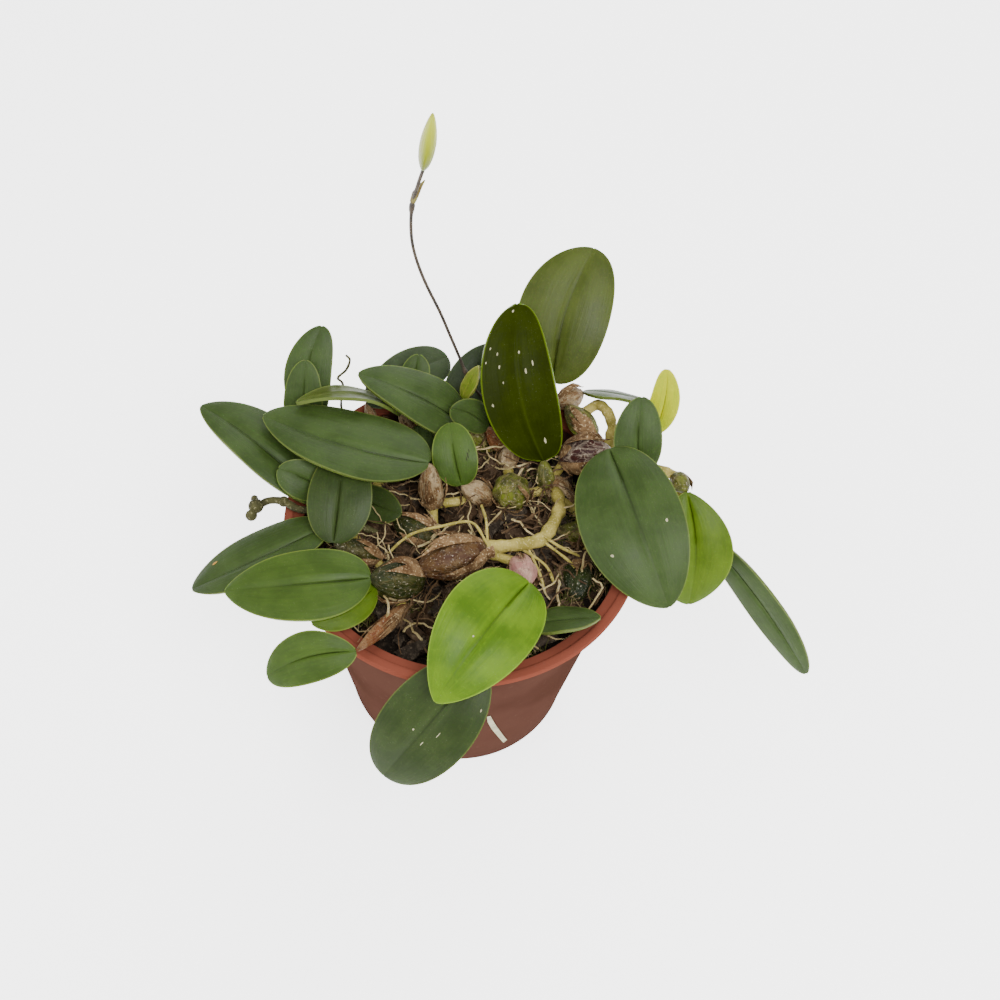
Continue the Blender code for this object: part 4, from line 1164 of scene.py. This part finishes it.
class ORCHID_OT_flower(bpy.types.Operator):
    """Builds the flower stalk with its bracts, and the closed bud"""
    bl_idname = "orchid.flower"
    bl_label = "Flower stalk and bud"

    def execute(self, context):
        path = smooth_path(STALK, 6)
        line = []
        for index, place in enumerate(path):
            swell = 1.0
            for node_at in (0.3, 0.83):
                swell += 0.9 * math.exp(-((index / len(path) - node_at) / 0.012) ** 2)
            line.append((place, 0.00052 * swell))
        stalk = strands("flower_stalk_skin", [line], 3)
        bract_at = path[int(len(path) * 0.86)]
        bract = [[(bract_at + Vector((out, 0.0, up)), radius) for out, up, radius in BRACT]]
        fibre_piece(stalk, "flower_stalk_skin", "stalk_dark", "flower_stalk")
        fibre_piece(strands("bract", bract, 3), "stalk_bract", "bract_skin", None)
        bud = make_bulb(Vector(STALK[-1]), Vector(BUD_TIP), BUD_RADIUS, 3, 77)
        finish_piece(bud, "closed_bud", bud_finish(), "flower_bud", 60.0)
        return {"FINISHED"}


# Stage

# The view's angle above the horizon and its roll in degrees, then how far the camera is to the
# side, over and back from the origin, along its own axes.
CAMERA_LIFT = 56.9
CAMERA_TIP = 4.85
CAMERA_PLACE = (0.0168, 0.0642, 0.552)
FLOOR_GLOW = 2.4
WHITE = (1.0, 1.0, 1.0, 1.0)


class ORCHID_OT_stage(bpy.types.Operator):
    """Sets the camera, the pale floor and the soft light"""
    bl_idname = "orchid.stage"
    bl_label = "Stage"

    def execute(self, context):
        settings = context.scene.orchid_studio
        lift = math.radians(CAMERA_LIFT)
        tip = math.radians(CAMERA_TIP)
        back = Vector((0.0, -math.cos(lift), math.sin(lift)))
        right = Vector((1.0, 0.0, 0.0))
        up = back.cross(right)
        side = right * math.cos(tip) + up * math.sin(tip)
        over = up * math.cos(tip) - right * math.sin(tip)
        place = side * CAMERA_PLACE[0] + over * CAMERA_PLACE[1] + back * CAMERA_PLACE[2]
        lens = bpy.data.cameras.new("Camera")
        lens.lens = 50.0
        lens.sensor_width = 36.0
        lens.clip_start = 0.01
        lens.clip_end = 50.0
        camera = linked_object("Camera", lens)
        camera.matrix_world = Matrix.Translation(place) @ Matrix(
            (side, over, back)).transposed().to_4x4()
        context.scene.camera = camera
        fresh()
        bpy.ops.mesh.primitive_plane_add(size=8.0)
        floor = active()
        floor.name = "floor"
        paint = Finish("floor_paint", 0.9, 0.1)
        paint.shader.inputs["Emission Color"].default_value = WHITE
        paint.shader.inputs["Emission Strength"].default_value = FLOOR_GLOW
        cloud = paint.noise(3.0, 2.0)
        color = tuple(settings.floor_color)
        paint.color(paint.mix(cloud, color, tuple(c * 0.985 for c in color)))
        floor.data.materials.append(paint.material)
        lamps = (("Key", (0.3, -0.55, 1.1), 0.55, settings.key_power),
                 ("Fill", (-0.8, -0.5, 0.85), 0.9, settings.key_power * 0.4),
                 ("Back", (0.25, 0.95, 0.8), 0.9, settings.key_power * 0.5))
        for name, spot, size, power in lamps:
            lamp = bpy.data.lights.new(name, "AREA")
            lamp.size = size
            lamp.energy = power
            holder = linked_object(name, lamp)
            holder.location = spot
            holder.rotation_euler = (Vector((0.0, 0.0, 0.1)) - Vector(spot)).to_track_quat(
                "-Z", "Y").to_euler()
        world = bpy.data.worlds.new("Surround")
        world.use_nodes = True
        surround = world.node_tree.nodes["Background"].inputs
        surround["Color"].default_value = WHITE
        surround["Strength"].default_value = settings.sky
        context.scene.world = world
        return {"FINISHED"}


STEPS = (ORCHID_OT_pot, ORCHID_OT_bark, ORCHID_OT_moss, ORCHID_OT_rhizome, ORCHID_OT_bulbs,
         ORCHID_OT_sheaths, ORCHID_OT_roots, ORCHID_OT_leaves, ORCHID_OT_marks,
         ORCHID_OT_flower, ORCHID_OT_stage)


class ORCHID_PT_panel(bpy.types.Panel):
    """Lists the steps in their order"""
    bl_idname = "ORCHID_PT_panel"
    bl_label = "Potted orchid"
    bl_space_type = "VIEW_3D"
    bl_region_type = "UI"
    bl_category = "Orchid"

    def draw(self, context):
        for name in ("leaf_thickness", "bed_height", "chips", "moss", "roots", "sheaths"):
            self.layout.prop(context.scene.orchid, name)
        for name in ("floor_color", "key_power", "sky"):
            self.layout.prop(context.scene.orchid_studio, name)
        for step in STEPS:
            self.layout.operator(step.bl_idname)


CLASSES = (OrchidSettings, StudioSettings) + STEPS + (ORCHID_PT_panel,)


def register():
    for item in CLASSES:
        bpy.utils.register_class(item)
    bpy.types.Scene.orchid = bpy.props.PointerProperty(type=OrchidSettings)
    bpy.types.Scene.orchid_studio = bpy.props.PointerProperty(type=StudioSettings)


def unregister():
    del bpy.types.Scene.orchid_studio
    del bpy.types.Scene.orchid
    for item in reversed(CLASSES):
        bpy.utils.unregister_class(item)


def main():
    register()
    for step in STEPS:
        group, name = step.bl_idname.split(".")
        if getattr(getattr(bpy.ops, group), name)() != {"FINISHED"}:
            raise RuntimeError(step.bl_label + " did not finish")


if __name__ == "__main__":
    main()
